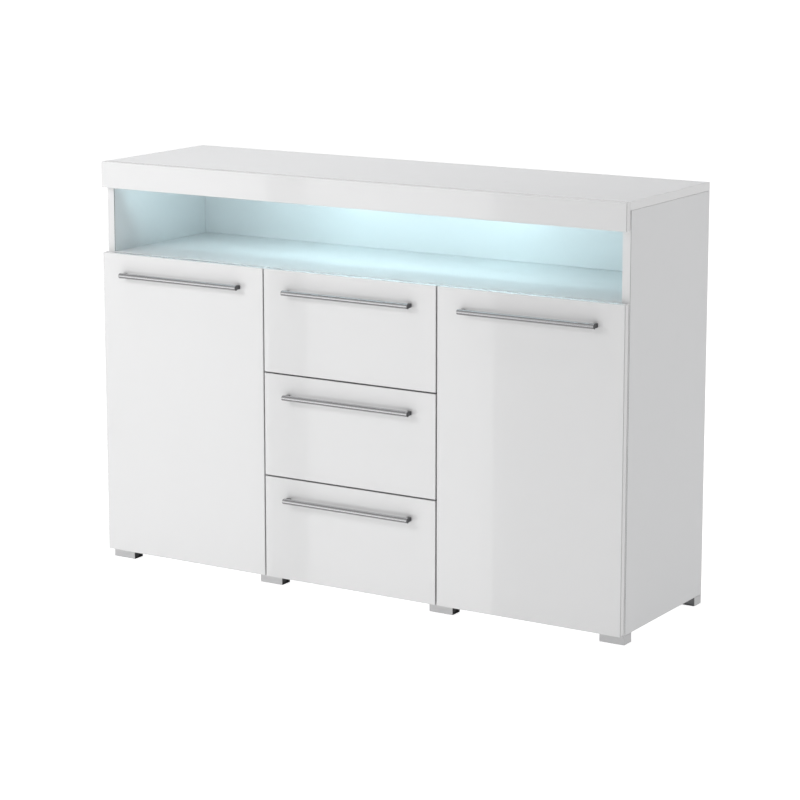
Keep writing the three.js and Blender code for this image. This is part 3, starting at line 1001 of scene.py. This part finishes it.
@dataclass
class Handles:
    """Five straight pull handles of satin metal with a square leg at each end.

    Attributes:
        grip_depth: Thickness of the grip, front to back.
        flank: Depth of the straight flanks behind its crowned front.
        crown_steps: Faces round the crowned front.
        soft: Radius of the grip's edges.
        leg_width: Width of a leg along the grip.
        leg_height: Height of a leg.
        leg_soft: Radius of a leg's edges.
        leg_set_in: How far a leg stands in from the end of the grip.
        leg_sunk: How far a leg reaches into the grip.
        screw_radius: Radius of the screw heads behind the front.
        screw_height: Height of the screw heads.
    """

    grip_depth: float = 9.0 * MM
    flank: float = 2.0 * MM
    crown_steps: int = 14
    soft: float = 0.4 * MM
    leg_width: float = 10.0 * MM
    leg_height: float = 9.0 * MM
    leg_soft: float = 0.9 * MM
    leg_set_in: float = 0.15 * MM
    leg_sunk: float = 2.5 * MM
    screw_radius: float = 4.0 * MM
    screw_height: float = 2.2 * MM

    def build(self) -> list[bpy.types.Object]:
        """Builds the handles and the screws that hold them.

        Returns:
            The pieces.
        """
        made = []
        for name in (*(f"{side}_door" for side in SIDES), *DRAWERS):
            panel = f"{name}_panel" if name.endswith("door") else f"{name}_front"
            made += [self.handle(name), self.screws(name, panel)]
        return made

    def handle(self, name: str) -> bpy.types.Object:
        """One handle: a grip with a crowned front, and two legs, with painted shade as a darker metal
        on the grip's ends and on the legs.

        Args:
            name: The door or drawer that it is on.

        Returns:
            The handle.
        """
        node = f"{name}_handle"
        low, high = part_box(node)
        middle = (low.z + high.z) / 2
        half = (high.z - low.z) / 2
        back = low.y + self.grip_depth
        flank = back - self.flank
        shape = Shape()
        arc = [Vector((low.x, flank - (flank - low.y) * math.sin(turn), middle + half * math.cos(turn)))
               for turn in (math.pi * step / self.crown_steps for step in range(self.crown_steps + 1))]
        outline = [Vector((low.x, back, middle + half)), *arc, Vector((low.x, back, middle - half))]
        faces = shape.prism(outline, Vector((high.x - low.x, 0.0, 0.0)))
        ends = {edge for face in faces for edge in face.edges
                if abs(edge.verts[0].co.x - edge.verts[1].co.x) < HAIR
                or (edge.verts[0].co.y > back - HAIR and edge.verts[1].co.y > back - HAIR)}
        shape.round_edges(ends, self.soft, 3)
        # Painted shade: the grip's end faces take the darker metal.
        for face in shape.bm.faces:
            centre = face.calc_center_median().x
            if min(centre - low.x, high.x - centre) < HAIR:
                face.material_index = 1
        grip = set(shape.bm.faces)
        for x0 in (low.x, high.x - self.leg_width):
            leg_low = Vector((x0 + self.leg_set_in, back - self.leg_sunk,
                              middle - self.leg_height / 2))
            leg_high = Vector((x0 + self.leg_width - self.leg_set_in, high.y,
                               middle + self.leg_height / 2))
            shape.block(leg_low, leg_high, self.leg_soft, 4)
        # Painted shade: the legs take the darker metal too.
        for face in set(shape.bm.faces) - grip:
            face.material_index = 1
        return shape.piece(f"{name}_pull_handle", SATIN, name, Slot.METAL, (node,), HANDLE_PAINTED_SHADE)

    def screws(self, name: str, panel: str) -> bpy.types.Object:
        """The two machine screws that come through the front into the legs.

        Args:
            name: The door or drawer.
            panel: The node of its front panel.

        Returns:
            The screws as one piece.
        """
        low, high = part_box(f"{name}_handle")
        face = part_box(panel)[1].y
        shape = Shape()
        for x in (low.x + self.leg_width / 2, high.x - self.leg_width / 2):
            shape.screw((x, face, (low.z + high.z) / 2), Axis.Y, 1, self.screw_radius,
                        self.screw_height)
        return shape.piece(f"{name}_handle_screws", ZINC, name, Slot.ZINC)


# ----------------------------------------------------------------------------- feet
@dataclass
class Feet:
    """Low feet: a moulded block inside a silver cover that is bent round the outer corner.

    Attributes:
        wall: Wall of the cover.
        corner: Radius of its bent corner.
        lift: How far the cover stays off the floor.
        soft: Radius of the cover's other edges.
        gap: Play between the cover and the block.
        rib: Wall that is left round a hollow of the block.
        hollow: Depth of a hollow.
        block_soft: Radius of the block's edges.
        folded: Angle in degrees past which an edge is rounded.
    """

    wall: float = 1.5 * MM
    corner: float = 2.2 * MM
    lift: float = 0.4 * MM
    soft: float = 0.25 * MM
    gap: float = 0.15 * MM
    rib: float = 2.2 * MM
    hollow: float = 5.0 * MM
    block_soft: float = 0.5 * MM
    folded: float = 60.0

    def build(self) -> list[bpy.types.Object]:
        """Builds all six feet.

        Returns:
            The pieces.
        """
        made = []
        for side, sign in SIDES.items():
            made += self.foot(f"front_{side}_foot", sign, -1)
            made += self.foot(f"middle_{side}_foot", -1, -1)
            made += self.foot(f"rear_{side}_foot", sign, 1)
        return made

    def foot(self, node: str, out_x: int, out_y: int) -> list[bpy.types.Object]:
        """One foot.

        Args:
            node: The frame node that it stands for.
            out_x: Which way its closed side looks along X.
            out_y: Which way its closed side looks along Y.

        Returns:
            The cover and the block.
        """
        low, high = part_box(node)
        x_out, x_in = (high.x, low.x) if out_x > 0 else (low.x, high.x)
        y_out, y_in = (high.y, low.y) if out_y > 0 else (low.y, high.y)
        wall_x, wall_y = self.wall * out_x, self.wall * out_y
        bottom = low.z + self.lift
        plan = [(x_in, y_out), (x_out, y_out), (x_out, y_in), (x_out - wall_x, y_in),
                (x_out - wall_x, y_out - wall_y), (x_in, y_out - wall_y)]
        cover = Shape()
        faces = cover.prism([Vector((x, y, bottom)) for x, y in plan],
                            Vector((0.0, 0.0, high.z - bottom)))
        upright = {edge for face in faces for edge in face.edges
                   if abs(edge.verts[0].co.z - edge.verts[1].co.z) > self.wall}
        outer = [edge for edge in upright
                 if (edge.verts[0].co.xy - Vector((x_out, y_out))).length < HAIR]
        cover.round_edges(outer, self.corner, 6)
        cover.round_edges(self.sharp(cover), self.soft, 2)
        return [cover.piece(f"{node}_cover", SILVER, CARCASS, Slot.FOOT, (node,)),
                self.block(node, out_x, out_y)]

    def sharp(self, shape: Shape) -> list[bmesh.types.BMEdge]:
        """The folded edges of a shape."""
        limit = math.radians(self.folded)
        return [edge for edge in shape.bm.edges if edge.calc_face_angle(0.0) > limit]

    def block(self, node: str, out_x: int, out_y: int) -> bpy.types.Object:
        """The moulded block inside a cover, hollow on its two open sides; the rear blocks take a
        lighter grey copy of the black plastic as painted reflected light.

        Args:
            node: The foot's node.
            out_x: Which way the cover's closed side looks along X.
            out_y: Which way it looks along Y.

        Returns:
            The block.
        """
        low, high = (Vector(corner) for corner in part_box(node))
        for axis, out in enumerate((out_x, out_y)):
            closed = high if out > 0 else low
            closed[axis] -= out * (self.wall + self.gap)
        shape = Shape().block(low, high)
        sides = [face for face in shape.bm.faces
                 if face.normal.x * out_x < -0.5 or face.normal.y * out_y < -0.5]
        for face in sides:
            bmesh.ops.inset_individual(shape.bm, faces=[face], thickness=self.rib)
            bmesh.ops.translate(shape.bm, verts=list(face.verts), vec=-face.normal * self.hollow)
        shape.round_edges(self.sharp(shape), self.block_soft, 2)
        # Painted reflected light: the rear blocks are a lighter grey copy of the black plastic.
        finish = BLACK_PAINTED_LIGHT if out_y > 0 else BLACK
        return shape.piece(f"{node}_block", finish, CARCASS, Slot.FOOT)


# ----------------------------------------------------------------------------- niche lights
@dataclass
class NicheLights:
    """Two round, flat lights under the top panel, and the light that they throw.

    Attributes:
        rim: Width of the housing's rim.
        sink: How far the lens sits inside the rim.
        drop: How far below the housing its lamp shines from.
        lean: How far that lamp is turned towards the back, in degrees.
        power: Power of the lamp, in watts.
        fill_place: Middle of the wide, even fill: its Y, and how far below the top panel it is.
        fill_size: Width and height of the fill.
        fill_lean: How far the fill is turned towards the back, in degrees.
        fill_power: Power of the fill, in watts.
        glow: Colour of all these lamps.
    """

    rim: float = 5.0 * MM
    sink: float = 2.2 * MM
    drop: float = 14.0 * MM
    lean: float = 62.0
    power: float = 0.022
    fill_place: tuple[float, float] = (-0.13, 0.09)
    fill_size: tuple[float, float] = (1.2, 0.08)
    fill_lean: float = 122.0
    fill_power: float = 1.28
    glow: Colour = (0.66, 0.945, 1.0)

    def build(self) -> list[bpy.types.Object]:
        """Builds the housings, the lenses and the lights below them.

        Returns:
            The pieces.
        """
        made = []
        for side in SIDES:
            node = f"{side}_niche_light"
            low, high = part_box(node)
            centre = (low + high) / 2
            radius, height = (high.x - low.x) / 2, high.z - low.z
            inner = radius - self.rim
            housing = Shape().turned(
                [(0.0, 0.0), (radius - 0.6 * MM, 0.0), (radius, -0.6 * MM), (radius, MM - height),
                 (radius - 0.4 * MM, 0.35 * MM - height), (radius - 1.2 * MM, -height),
                 (inner + 0.8 * MM, -height), (inner, 0.8 * MM - height),
                 (inner, self.sink + 1.2 * MM - height), (0.0, self.sink + 1.2 * MM - height)],
                (centre.x, centre.y, high.z), Axis.Z, 48)
            lens = Shape().turned(
                [(0.0, 0.9 * MM), (inner - 0.3 * MM, 0.9 * MM), (inner - 0.3 * MM, 0.0),
                 (inner - 1.5 * MM, -0.5 * MM), (inner * 0.5, -1.0 * MM), (0.0, -1.15 * MM)],
                (centre.x, centre.y, high.z - height + self.sink), Axis.Z, 48)
            made.append(housing.piece(f"{side}_niche_light_housing", HOUSING, CARCASS, Slot.LIGHT,
                                      (node,)))
            made.append(lens.piece(f"{side}_niche_light_lens", LENS, CARCASS, Slot.LIGHT))
            self.lamp(f"{side}_niche_lamp", (centre.x, centre.y, low.z - self.drop),
                      (inner * 2, inner * 2), self.power, self.lean)
        fill_y, below = self.fill_place
        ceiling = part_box("top_panel")[0].z
        self.lamp("niche_fill", (0.0, fill_y, ceiling - below), self.fill_size, self.fill_power,
                  self.fill_lean)
        return made

    def lamp(self, name: str, place: Place, size: tuple[float, float], power: float,
             lean: float) -> None:
        """A light in the niche.

        Args:
            name: Its name.
            place: Its centre.
            size: Its width and depth.
            power: Its power in watts.
            lean: How far it is turned from straight down towards the back, in degrees.
        """
        turn = Euler((math.radians(lean), 0.0, 0.0)).to_quaternion()
        area_light(name, "ELLIPSE", place, turn, size, power, self.glow)


# ----------------------------------------------------------------------------- hardware
@dataclass
class Hinges:
    """Concealed hinges: arm and link on the side panel, cup in the door, and their screws.

    Attributes:
        arm_soft: Radius of the arm's edges.
        link_soft: Radius of the link's edges.
        cup_soft: Radius of the cup's edges.
        screw_radius: Radius of the screw heads.
        screw_height: Height of the screw heads.
        wing_end: From the end of a cup's wing to its screw.
        plate_thick: Thickness of an arm's mounting plate.
        plate_rear: From the rear of an arm to the screws of its plate.
        plate_end: From the end of the plate to its screw.
        adjusters: From the front of an arm to its adjusting screws.
        adjuster_radius: Radius of those screws.
        adjuster_height: Height of their heads.
    """

    arm_soft: float = 0.3 * MM
    link_soft: float = 0.2 * MM
    cup_soft: float = 0.15 * MM
    screw_radius: float = 3.6 * MM
    screw_height: float = 1.6 * MM
    wing_end: float = 5.6 * MM
    plate_thick: float = 2.0 * MM
    plate_rear: float = 24.0 * MM
    plate_end: float = 6.0 * MM
    adjusters: tuple[float, float] = (44.0 * MM, 62.0 * MM)
    adjuster_radius: float = 2.8 * MM
    adjuster_height: float = 1.0 * MM

    def build(self) -> list[bpy.types.Object]:
        """Builds every hinge.

        Returns:
            The pieces.
        """
        made = []
        for side, sign in SIDES.items():
            for level in LEVELS:
                base = f"{side}_{level}_hinge"
                for part, soft, body in (("arm", self.arm_soft, CARCASS),
                                         ("link", self.link_soft, f"{side}_hinge_links"),
                                         ("cup", self.cup_soft, f"{side}_door")):
                    made.append(Shape().copied(f"{base}_{part}", soft).piece(
                        f"{base}_steel_{part}", ZINC, body, Slot.ZINC, (f"{base}_{part}",)))
                made += [self.cup_screws(side, base), self.arm_screws(sign, base)]
        return made

    def cup_screws(self, side: str, base: str) -> bpy.types.Object:
        """The two screws in the wings of a cup.

        Args:
            side: Left or right.
            base: The hinge's name.

        Returns:
            The screws as one piece.
        """
        low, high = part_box(f"{base}_cup")
        centre = (low + high) / 2
        shape = Shape()
        for z in (low.z + self.wing_end, high.z - self.wing_end):
            shape.screw((centre.x, high.y, z), Axis.Y, 1, self.screw_radius, self.screw_height)
        return shape.piece(f"{base}_cup_screws", ZINC, f"{side}_door", Slot.ZINC)

    def arm_screws(self, sign: int, base: str) -> bpy.types.Object:
        """The two plate screws and the two adjusting screws of an arm.

        Args:
            sign: -1 on the left and 1 on the right.
            base: The hinge's name.

        Returns:
            The screws as one piece.
        """
        low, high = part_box(f"{base}_arm")
        plate_y = high.y - self.plate_rear
        root, crest = (low.x, high.x) if sign < 0 else (high.x, low.x)
        seat = root - sign * self.plate_thick
        middle = (low.z + high.z) / 2
        shape = Shape()
        for z in (low.z + self.plate_end, high.z - self.plate_end):
            shape.screw((seat, plate_y, z), Axis.X, -sign, self.screw_radius, self.screw_height)
        for place in self.adjusters:
            shape.screw((crest, low.y + place, middle), Axis.X, -sign, self.adjuster_radius,
                        self.adjuster_height)
        return shape.piece(f"{base}_arm_screws", ZINC, CARCASS, Slot.ZINC)


@dataclass
class DrawerParts:
    """Folded boxes, bases, runners, rails, rollers and their screws.

    Attributes:
        roller_radius: Radius of the nylon rollers.
        roller_width: Width of a roller.
        box_soft: Radius of the folded board's edges.
        base_soft: Radius of the base's edges.
        bend: Radius of the rolled steel's edges.
        steel: Thickness of that steel.
        stand_off: From the steel to a roller.
        axle_front: From the front of a rail to its roller's axle.
        lip: From the bottom of a rail to the top of its lip.
        screw_radius: Radius of the screw heads.
        screw_height: Height of the screw heads.
        screw_rise: From the bottom of a rail to its screws.
        screw_shares: Places of the screws along a rail.
    """

    roller_radius: float = 5.6 * MM
    roller_width: float = 5.0 * MM
    box_soft: float = 0.5 * MM
    base_soft: float = 0.3 * MM
    bend: float = 0.35 * MM
    steel: float = 1.2 * MM
    stand_off: float = 0.3 * MM
    axle_front: float = 9.0 * MM
    lip: float = 1.4 * MM
    screw_radius: float = 3.2 * MM
    screw_height: float = 1.3 * MM
    screw_rise: float = 18.0 * MM
    screw_shares: tuple[float, ...] = (0.14, 0.45, 0.82)

    def build(self) -> list[bpy.types.Object]:
        """Builds what is behind the three drawer fronts.

        Returns:
            The pieces.
        """
        made = []
        for drawer in DRAWERS:
            made.append(Shape().copied(f"{drawer}_box", self.box_soft, 3).piece(
                f"{drawer}_folded_box", FOIL, drawer, Slot.FOIL, (f"{drawer}_box",)))
            low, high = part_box(f"{drawer}_base")
            made.append(Shape().block(low, high, self.base_soft, 2).piece(
                f"{drawer}_hardboard_base", FOIL, drawer, Slot.FOIL, (f"{drawer}_base",)))
            for side, sign in SIDES.items():
                made += self.pair(drawer, side, sign)
        return made

    def pair(self, drawer: str, side: str, sign: int) -> list[bpy.types.Object]:
        """The rail and runner on one side of a drawer, with rollers and screws.

        Args:
            drawer: The drawer's name.
            side: Left or right.
            sign: -1 on the left and 1 on the right.

        Returns:
            The pieces.
        """
        rail = f"{drawer}_{side}_rail"
        made = [Shape().copied(node, self.bend).piece(f"{node}_steel", EPOXY, body, Slot.RUNNER,
                                                      (node,))
                for node, body in ((rail, CARCASS), (f"{drawer}_{side}_runner", drawer))]
        low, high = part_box(rail)
        wall = high.x if sign > 0 else low.x
        web = wall - sign * self.steel
        axle = (web - sign * self.stand_off, low.y + self.axle_front,
                low.z + self.lip + self.roller_radius)
        made.append(self.roller(axle, -sign).piece(f"{rail}_roller", NYLON, CARCASS, Slot.RUNNER))
        screws = Shape()
        for share in self.screw_shares:
            y = low.y + (high.y - low.y) * share
            screws.screw((web, y, low.z + self.screw_rise), Axis.X, -sign, self.screw_radius,
                         self.screw_height)
        made.append(screws.piece(f"{rail}_screws", ZINC, CARCASS, Slot.ZINC))
        return made

    def roller(self, axle: Place, sign: int) -> Shape:
        """A grooved roller with the riveted end of its axle.

        Args:
            axle: Where the axle leaves the steel.
            sign: Which way the axle points along X.

        Returns:
            The shape.
        """
        radius, width = self.roller_radius, self.roller_width * sign
        return Shape().turned(
            [(0.0, 0.0), (radius - 0.7 * MM, 0.0), (radius, 0.12 * width), (radius, 0.88 * width),
             (radius - 0.7 * MM, width), (2.6 * MM, width), (2.3 * MM, width * 0.86),
             (1.7 * MM, width * 0.86), (1.6 * MM, width * 1.08), (0.0, width * 1.14)],
            axle, Axis.X, 28)


@dataclass
class Fittings:
    """Small fittings: shelf pins, cam discs, buffers and the nails of the back panel.

    Attributes:
        pin_radius: Radius of a shelf pin.
        pin_inset: From the front and rear of a shelf to its pins.
        pin_gap: Play under the shelf, and between a pin's tongue and its collar's top.
        collar: Radius of a pin's collar.
        tongue: Half the width of the tongue that the shelf lies on.
        tongue_thick: Thickness of the tongue.
        cam_radius: Radius of a cam disc.
        cam_height: How far a cam disc stands proud.
        cam_side: From the shelf's ends to the discs.
        cam_front: From the shelf's front to the front discs.
        cam_rear: From the shelf's rear to the rear discs.
        buffer_radius: Radius of a buffer.
        buffer_side: From the edge of a front to a buffer.
        buffer_end: From the top or bottom of a front to a buffer.
        play: What is left between a buffer and the board that it meets.
        nail_radius: Radius of a nail head.
        nail_pitch: Distance between nails.
        nail_edge: From the panel's edge to the nails.
        nail_sunk: How far a nail's head lies below the panel's outer face.
    """

    pin_radius: float = 2.5 * MM
    pin_inset: float = 37.0 * MM
    pin_gap: float = 0.2 * MM
    collar: float = 4.0 * MM
    tongue: float = 4.0 * MM
    tongue_thick: float = 1.4 * MM
    cam_radius: float = 7.5 * MM
    cam_height: float = 0.5 * MM
    cam_side: float = 34.0 * MM
    cam_front: float = 40.0 * MM
    cam_rear: float = 60.0 * MM
    buffer_radius: float = 4.5 * MM
    buffer_side: float = 4.6 * MM
    buffer_end: float = 22.0 * MM
    play: float = 0.4 * MM
    nail_radius: float = 2.2 * MM
    nail_pitch: float = 85.0 * MM
    nail_edge: float = 8.0 * MM
    nail_sunk: float = 0.02 * MM

    def build(self) -> list[bpy.types.Object]:
        """Builds all small fittings.

        Returns:
            The pieces.
        """
        made = []
        for side, sign in SIDES.items():
            made += [self.pins(side), self.cams(side), self.door_buffers(side, sign)]
        made += [self.drawer_buffers(drawer) for drawer in DRAWERS]
        made.append(self.nails())
        return made

    def pins(self, side: str) -> bpy.types.Object:
        """The four pins under a shelf, each a peg with a flat tongue.

        Args:
            side: Left or right.

        Returns:
            The pins as one piece.
        """
        low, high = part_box(f"{side}_shelf")
        seat = low.z - self.pin_gap
        peg_z = seat - self.collar - self.pin_gap
        shape = Shape()
        for x, inwards in ((low.x, 1), (high.x, -1)):
            step = inwards * MM
            root = x - 0.8 * step
            near, far = sorted((root + step, root + 9.0 * step))
            for y in (low.y + self.pin_inset, high.y - self.pin_inset):
                shape.turned([(0.0, 0.0), (self.collar, 0.0), (self.collar, step),
                              (self.pin_radius, 1.2 * step), (self.pin_radius, 7.0 * step),
                              (self.pin_radius - 0.6 * MM, 7.6 * step), (0.0, 7.6 * step)],
                             (root, y, peg_z), Axis.X, 20)
                shape.block(Vector((near, y - self.tongue, seat - self.tongue_thick)),
                            Vector((far, y + self.tongue, seat)), 0.5 * MM, 3)
        return shape.piece(f"{side}_shelf_pins", ZINC, CARCASS, Slot.ZINC)

    def cams(self, side: str) -> bpy.types.Object:
        """Cam discs in the cupboard's floor and ceiling, beside the upright boards.

        Args:
            side: Left or right.

        Returns:
            The discs as one piece.
        """
        shelf_low, shelf_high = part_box(f"{side}_shelf")
        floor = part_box("bottom_panel")[1].z
        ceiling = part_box("niche_shelf")[0].z
        shape = Shape()
        for x in (shelf_low.x + self.cam_side, shelf_high.x - self.cam_side):
            for y in (shelf_low.y + self.cam_front, shelf_high.y - self.cam_rear):
                for z, sign in ((floor, 1), (ceiling, -1)):
                    shape.screw((x, y, z), Axis.Z, sign, self.cam_radius, self.cam_height)
        return shape.piece(f"{side}_cupboard_cam_discs", ZINC, CARCASS, Slot.ZINC)

    def buffer(self, shape: Shape, place: Place, reach: float) -> None:
        """Adds one domed buffer on the inner face of a front.

        Args:
            shape: The shape that gets it.
            place: Its centre on that face.
            reach: How far it stands off.
        """
        radius = self.buffer_radius
        shape.turned([(0.0, 0.0), (radius, 0.0), (radius * 0.96, reach * 0.35),
                      (radius * 0.8, reach * 0.72), (radius * 0.5, reach * 0.94), (0.0, reach)],
                     place, Axis.Y, 24)

    def door_buffers(self, side: str, sign: int) -> bpy.types.Object:
        """Two buffers near the free edge of a door.

        Args:
            side: Left or right.
            sign: -1 on the left and 1 on the right.

        Returns:
            The buffers as one piece.
        """
        low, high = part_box(f"{side}_door_panel")
        free = low.x if sign > 0 else high.x
        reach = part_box(f"{side}_divider")[0].y - high.y - self.play
        shape = Shape()
        for z in (low.z + self.buffer_end, high.z - self.buffer_end):
            self.buffer(shape, (free + sign * self.buffer_side, high.y, z), reach)
        return shape.piece(f"{side}_door_buffers", BUFFER, f"{side}_door")

    def drawer_buffers(self, drawer: str) -> bpy.types.Object:
        """Two buffers behind the ends of a drawer front.

        Args:
            drawer: The drawer's name.

        Returns:
            The buffers as one piece.
        """
        low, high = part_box(f"{drawer}_front")
        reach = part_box("left_divider")[0].y - high.y - self.play
        shape = Shape()
        for x in (low.x + self.buffer_side, high.x - self.buffer_side):
            self.buffer(shape, (x, high.y, high.z - self.buffer_end), reach)
        return shape.piece(f"{drawer}_buffers", BUFFER, drawer)

    def nails(self) -> bpy.types.Object:
        """The nails round the back panel and along both dividers.

        Returns:
            The nails as one piece.
        """
        low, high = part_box("back_panel")
        columns = [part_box(f"{side}_divider") for side in SIDES]
        rows = (low.z + self.nail_edge, high.z - self.nail_edge)
        places: list[tuple[float, float]] = []
        span = high.x - low.x - 2 * self.nail_edge
        across = max(2, round(span / self.nail_pitch))
        for step in range(across + 1):
            x = low.x + self.nail_edge + span * step / across
            places += [(x, z) for z in rows]
        upwards = max(2, round((rows[1] - rows[0]) / self.nail_pitch))
        for step in range(1, upwards):
            z = rows[0] + (rows[1] - rows[0]) * step / upwards
            places += [((a.x + b.x) / 2, z) for a, b in columns]
        shape = Shape()
        crown = high.y - self.nail_sunk
        for x, z in places:
            shape.turned([(0.0, -0.6 * MM), (self.nail_radius, -0.6 * MM),
                          (self.nail_radius, -0.25 * MM), (self.nail_radius * 0.7, 0.0),
                          (0.0, 0.0)], (x, crown, z), Axis.Y, 12)
        return shape.piece("back_panel_nails", ZINC, CARCASS, Slot.ZINC)


# ----------------------------------------------------------------------------- studio
@dataclass(frozen=True)
class LitFloor(Finish):
    """A pale floor with an even glow, as a lit sweep has.

    Attributes:
        glow: Strength of the glow as light.
        to_eye: How much stronger the glow is to the eye.
    """

    glow: float = 0.45
    to_eye: float = 0.25

    def extra(self, graph: Graph, shader: bpy.types.Node, where: bpy.types.NodeSocket) -> None:
        """Adds the glow, a little stronger to the eye than as light.

        Args:
            graph: The material's graph.
            shader: The material's shader node.
            where: The coordinates of its patterns.
        """
        shader.inputs["Emission Color"].default_value = (1.0, 1.0, 1.0, 1.0)
        seen = graph.node("ShaderNodeLightPath").outputs["Is Camera Ray"]
        strength = graph.maths("MULTIPLY_ADD", seen, self.to_eye, self.glow)
        graph.feed(shader, "Emission Strength", strength)


@dataclass(frozen=True)
class SoftLight:
    """A rectangular light of the studio.

    Attributes:
        name: Its name.
        place: Its centre.
        aim: The point that it looks at.
        size: Its width and height.
        power: Its power in watts.
    """

    name: str
    place: Place
    aim: Place
    size: tuple[float, float]
    power: float

    def add(self) -> None:
        """Adds the light to the scene."""
        turn = (Vector(self.place) - Vector(self.aim)).to_track_quat("Z", "Y")
        area_light(self.name, "RECTANGLE", self.place, turn, self.size, self.power)


@dataclass
class Studio:
    """Floor, surroundings, soft lights, reflection cards and the camera.

    Attributes:
        camera_place: Camera centre.
        camera_turn: Turn about the vertical from straight on, in degrees.
        camera_dip: How far it looks down, in degrees.
        lens: Focal length on a 36 mm sensor.
        shift: Vertical shift of the frame.
        ambient: Strength of the even surroundings as light.
        horizon: Strength of the surroundings near the horizon as gloss and metal mirror them.
        zenith: Strength of the surroundings far above and below as gloss and metal mirror them.
        rise: Height of a mirrored ray where the horizon starts to fade, and where it has.
        soft_lights: The key from the front left, and the fills above and from the right.
        floor_size: Side of the floor.
        card: Strength of the mirrored cards.
        cards: Name, left end and right end of each card.
        card_y: Where the cards stand.
        card_z: Height of their middle.
        card_height: Their height.
    """

    camera_place: Place = (3.0085, -4.8166, 1.6206)
    camera_turn: float = 31.84
    camera_dip: float = 10.26
    lens: float = 118.26
    shift: float = -0.1
    ambient: float = 0.45
    horizon: float = 0.615
    zenith: float = 0.34
    rise: tuple[float, float] = (0.52, 0.80)
    soft_lights: tuple[SoftLight, ...] = (
        SoftLight("front_key", (-1.1, -1.7, 1.6), (-0.3, 0.0, 0.6), (0.5, 0.45), 9.5),
        SoftLight("overhead_fill", (-0.6, 0.2, 3.0), (0.0, 0.0, 0.9), (2.4, 1.8), 32.0),
        SoftLight("side_fill", (2.3, 0.0, 1.9), (0.66, 0.0, 0.7), (1.2, 1.0), 3.0))
    floor_size: float = 80.0
    card: float = 1.45
    cards: tuple[tuple[str, float, float], ...] = (("main_card", -4.148, -3.083),
                                                   ("left_card", -6.6, -4.385))
    card_y: float = -6.2
    card_z: float = -0.6
    card_height: float = 4.6

    def build(self) -> None:
        """Builds the whole stage."""
        bpy.context.scene.view_settings.view_transform = "Standard"
        self.world()
        self.floor()
        for light in self.soft_lights:
            light.add()
        for name, left, right in self.cards:
            self.reflection_card(name, left, right)
        self.camera()

    def world(self) -> None:
        """White to the eye, an even light, and a bright horizon in mirrored rays."""
        world = bpy.data.worlds.new("studio_white")
        bpy.context.scene.world = world
        world.use_nodes = True
        world.node_tree.nodes.clear()
        graph = Graph(world.node_tree)
        paths = graph.node("ShaderNodeLightPath")
        way = graph.node("ShaderNodeTexCoord").outputs["Generated"]
        parts = graph.node("ShaderNodeSeparateXYZ", Vector=way)
        rise = graph.maths("ABSOLUTE", parts.outputs["Z"])
        mirrored = graph.band(rise, *self.rise, self.horizon, self.zenith)
        gloss = paths.outputs["Is Glossy Ray"]
        light = graph.maths("MULTIPLY_ADD", graph.maths("SUBTRACT", mirrored, self.ambient), gloss,
                            self.ambient)
        seen = graph.maths("MAXIMUM", light, paths.outputs["Is Camera Ray"])
        shader = graph.node("ShaderNodeBackground", Color=(1.0, 1.0, 1.0), Strength=seen)
        graph.node("ShaderNodeOutputWorld", Surface=shader.outputs[0])

    def sheet(self, name: str, material: bpy.types.Material, place: Matrix) -> bpy.types.Object:
        """A flat square of the stage.

        Args:
            name: Its name.
            material: Its material.
            place: Its middle, turn and size.

        Returns:
            The sheet.
        """
        bm = bmesh.new()
        bmesh.ops.create_grid(bm, x_segments=1, y_segments=1, size=0.5, matrix=place)
        mesh = bpy.data.meshes.new(name)
        bm.to_mesh(mesh)
        bm.free()
        mesh.materials.append(material)
        made = bpy.data.objects.new(name, mesh)
        bpy.context.scene.collection.objects.link(made)
        return made

    def floor(self) -> None:
        """A wide plain pale floor, which nothing mirrors."""
        finish = LitFloor("pale_floor", (0.90, 0.90, 0.90), 0.8, 0.05, relief_scale=60.0,
                          relief_depth=0.0, drift=0.004, marks=0.0)
        floor = self.sheet("studio_floor", finish.material(), Matrix.Scale(self.floor_size, 4))
        floor.visible_glossy = False

    def reflection_card(self, name: str, left: float, right: float) -> None:
        """A tall bright card, seen only as a reflection in the gloss and the metal.

        Args:
            name: Its name.
            left: Its lowest X.
            right: Its highest X.
        """
        glow = bpy.data.materials.new(f"{name}_glow")
        glow.use_nodes = True
        glow.node_tree.nodes.clear()
        graph = Graph(glow.node_tree)
        light = graph.node("ShaderNodeEmission", Color=(1.0, 1.0, 1.0), Strength=self.card)
        graph.node("ShaderNodeOutputMaterial", Surface=light.outputs[0])
        place = Matrix.LocRotScale(((left + right) / 2, self.card_y, self.card_z),
                                   Matrix.Rotation(math.radians(90.0), 3, "X"),
                                   (right - left, self.card_height, 1.0))
        card = self.sheet(name, glow, place)
        card.visible_camera = card.visible_diffuse = card.visible_shadow = False
        card.visible_transmission = False

    def camera(self) -> None:
        """The camera, slightly above the top and to the right."""
        data = bpy.data.cameras.new("camera")
        data.lens, data.sensor_width, data.shift_y = self.lens, 36.0, self.shift
        data.clip_end = 200.0
        camera = bpy.data.objects.new("camera", data)
        camera.location = self.camera_place
        camera.rotation_euler = (math.radians(90.0 - self.camera_dip), 0.0,
                                 math.radians(self.camera_turn))
        bpy.context.scene.collection.objects.link(camera)
        bpy.context.scene.camera = camera


def main() -> None:
    """Builds the studio and every sub-assembly."""
    logging.basicConfig(level=logging.INFO, format="%(message)s")
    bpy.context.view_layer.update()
    Studio().build()
    builders: dict[str, Callable[[], list[bpy.types.Object]]] = {
        "boards": Boards().build,
        "fascia": Fascia().build,
        "fronts": Fronts().build,
        "handles": Handles().build,
        "feet": Feet().build,
        "niche lights": NicheLights().build,
        "hinges": Hinges().build,
        "drawers": DrawerParts().build,
        "fittings": Fittings().build,
    }
    for group, build in builders.items():
        report(group, build())


if __name__ == "__main__":
    main()
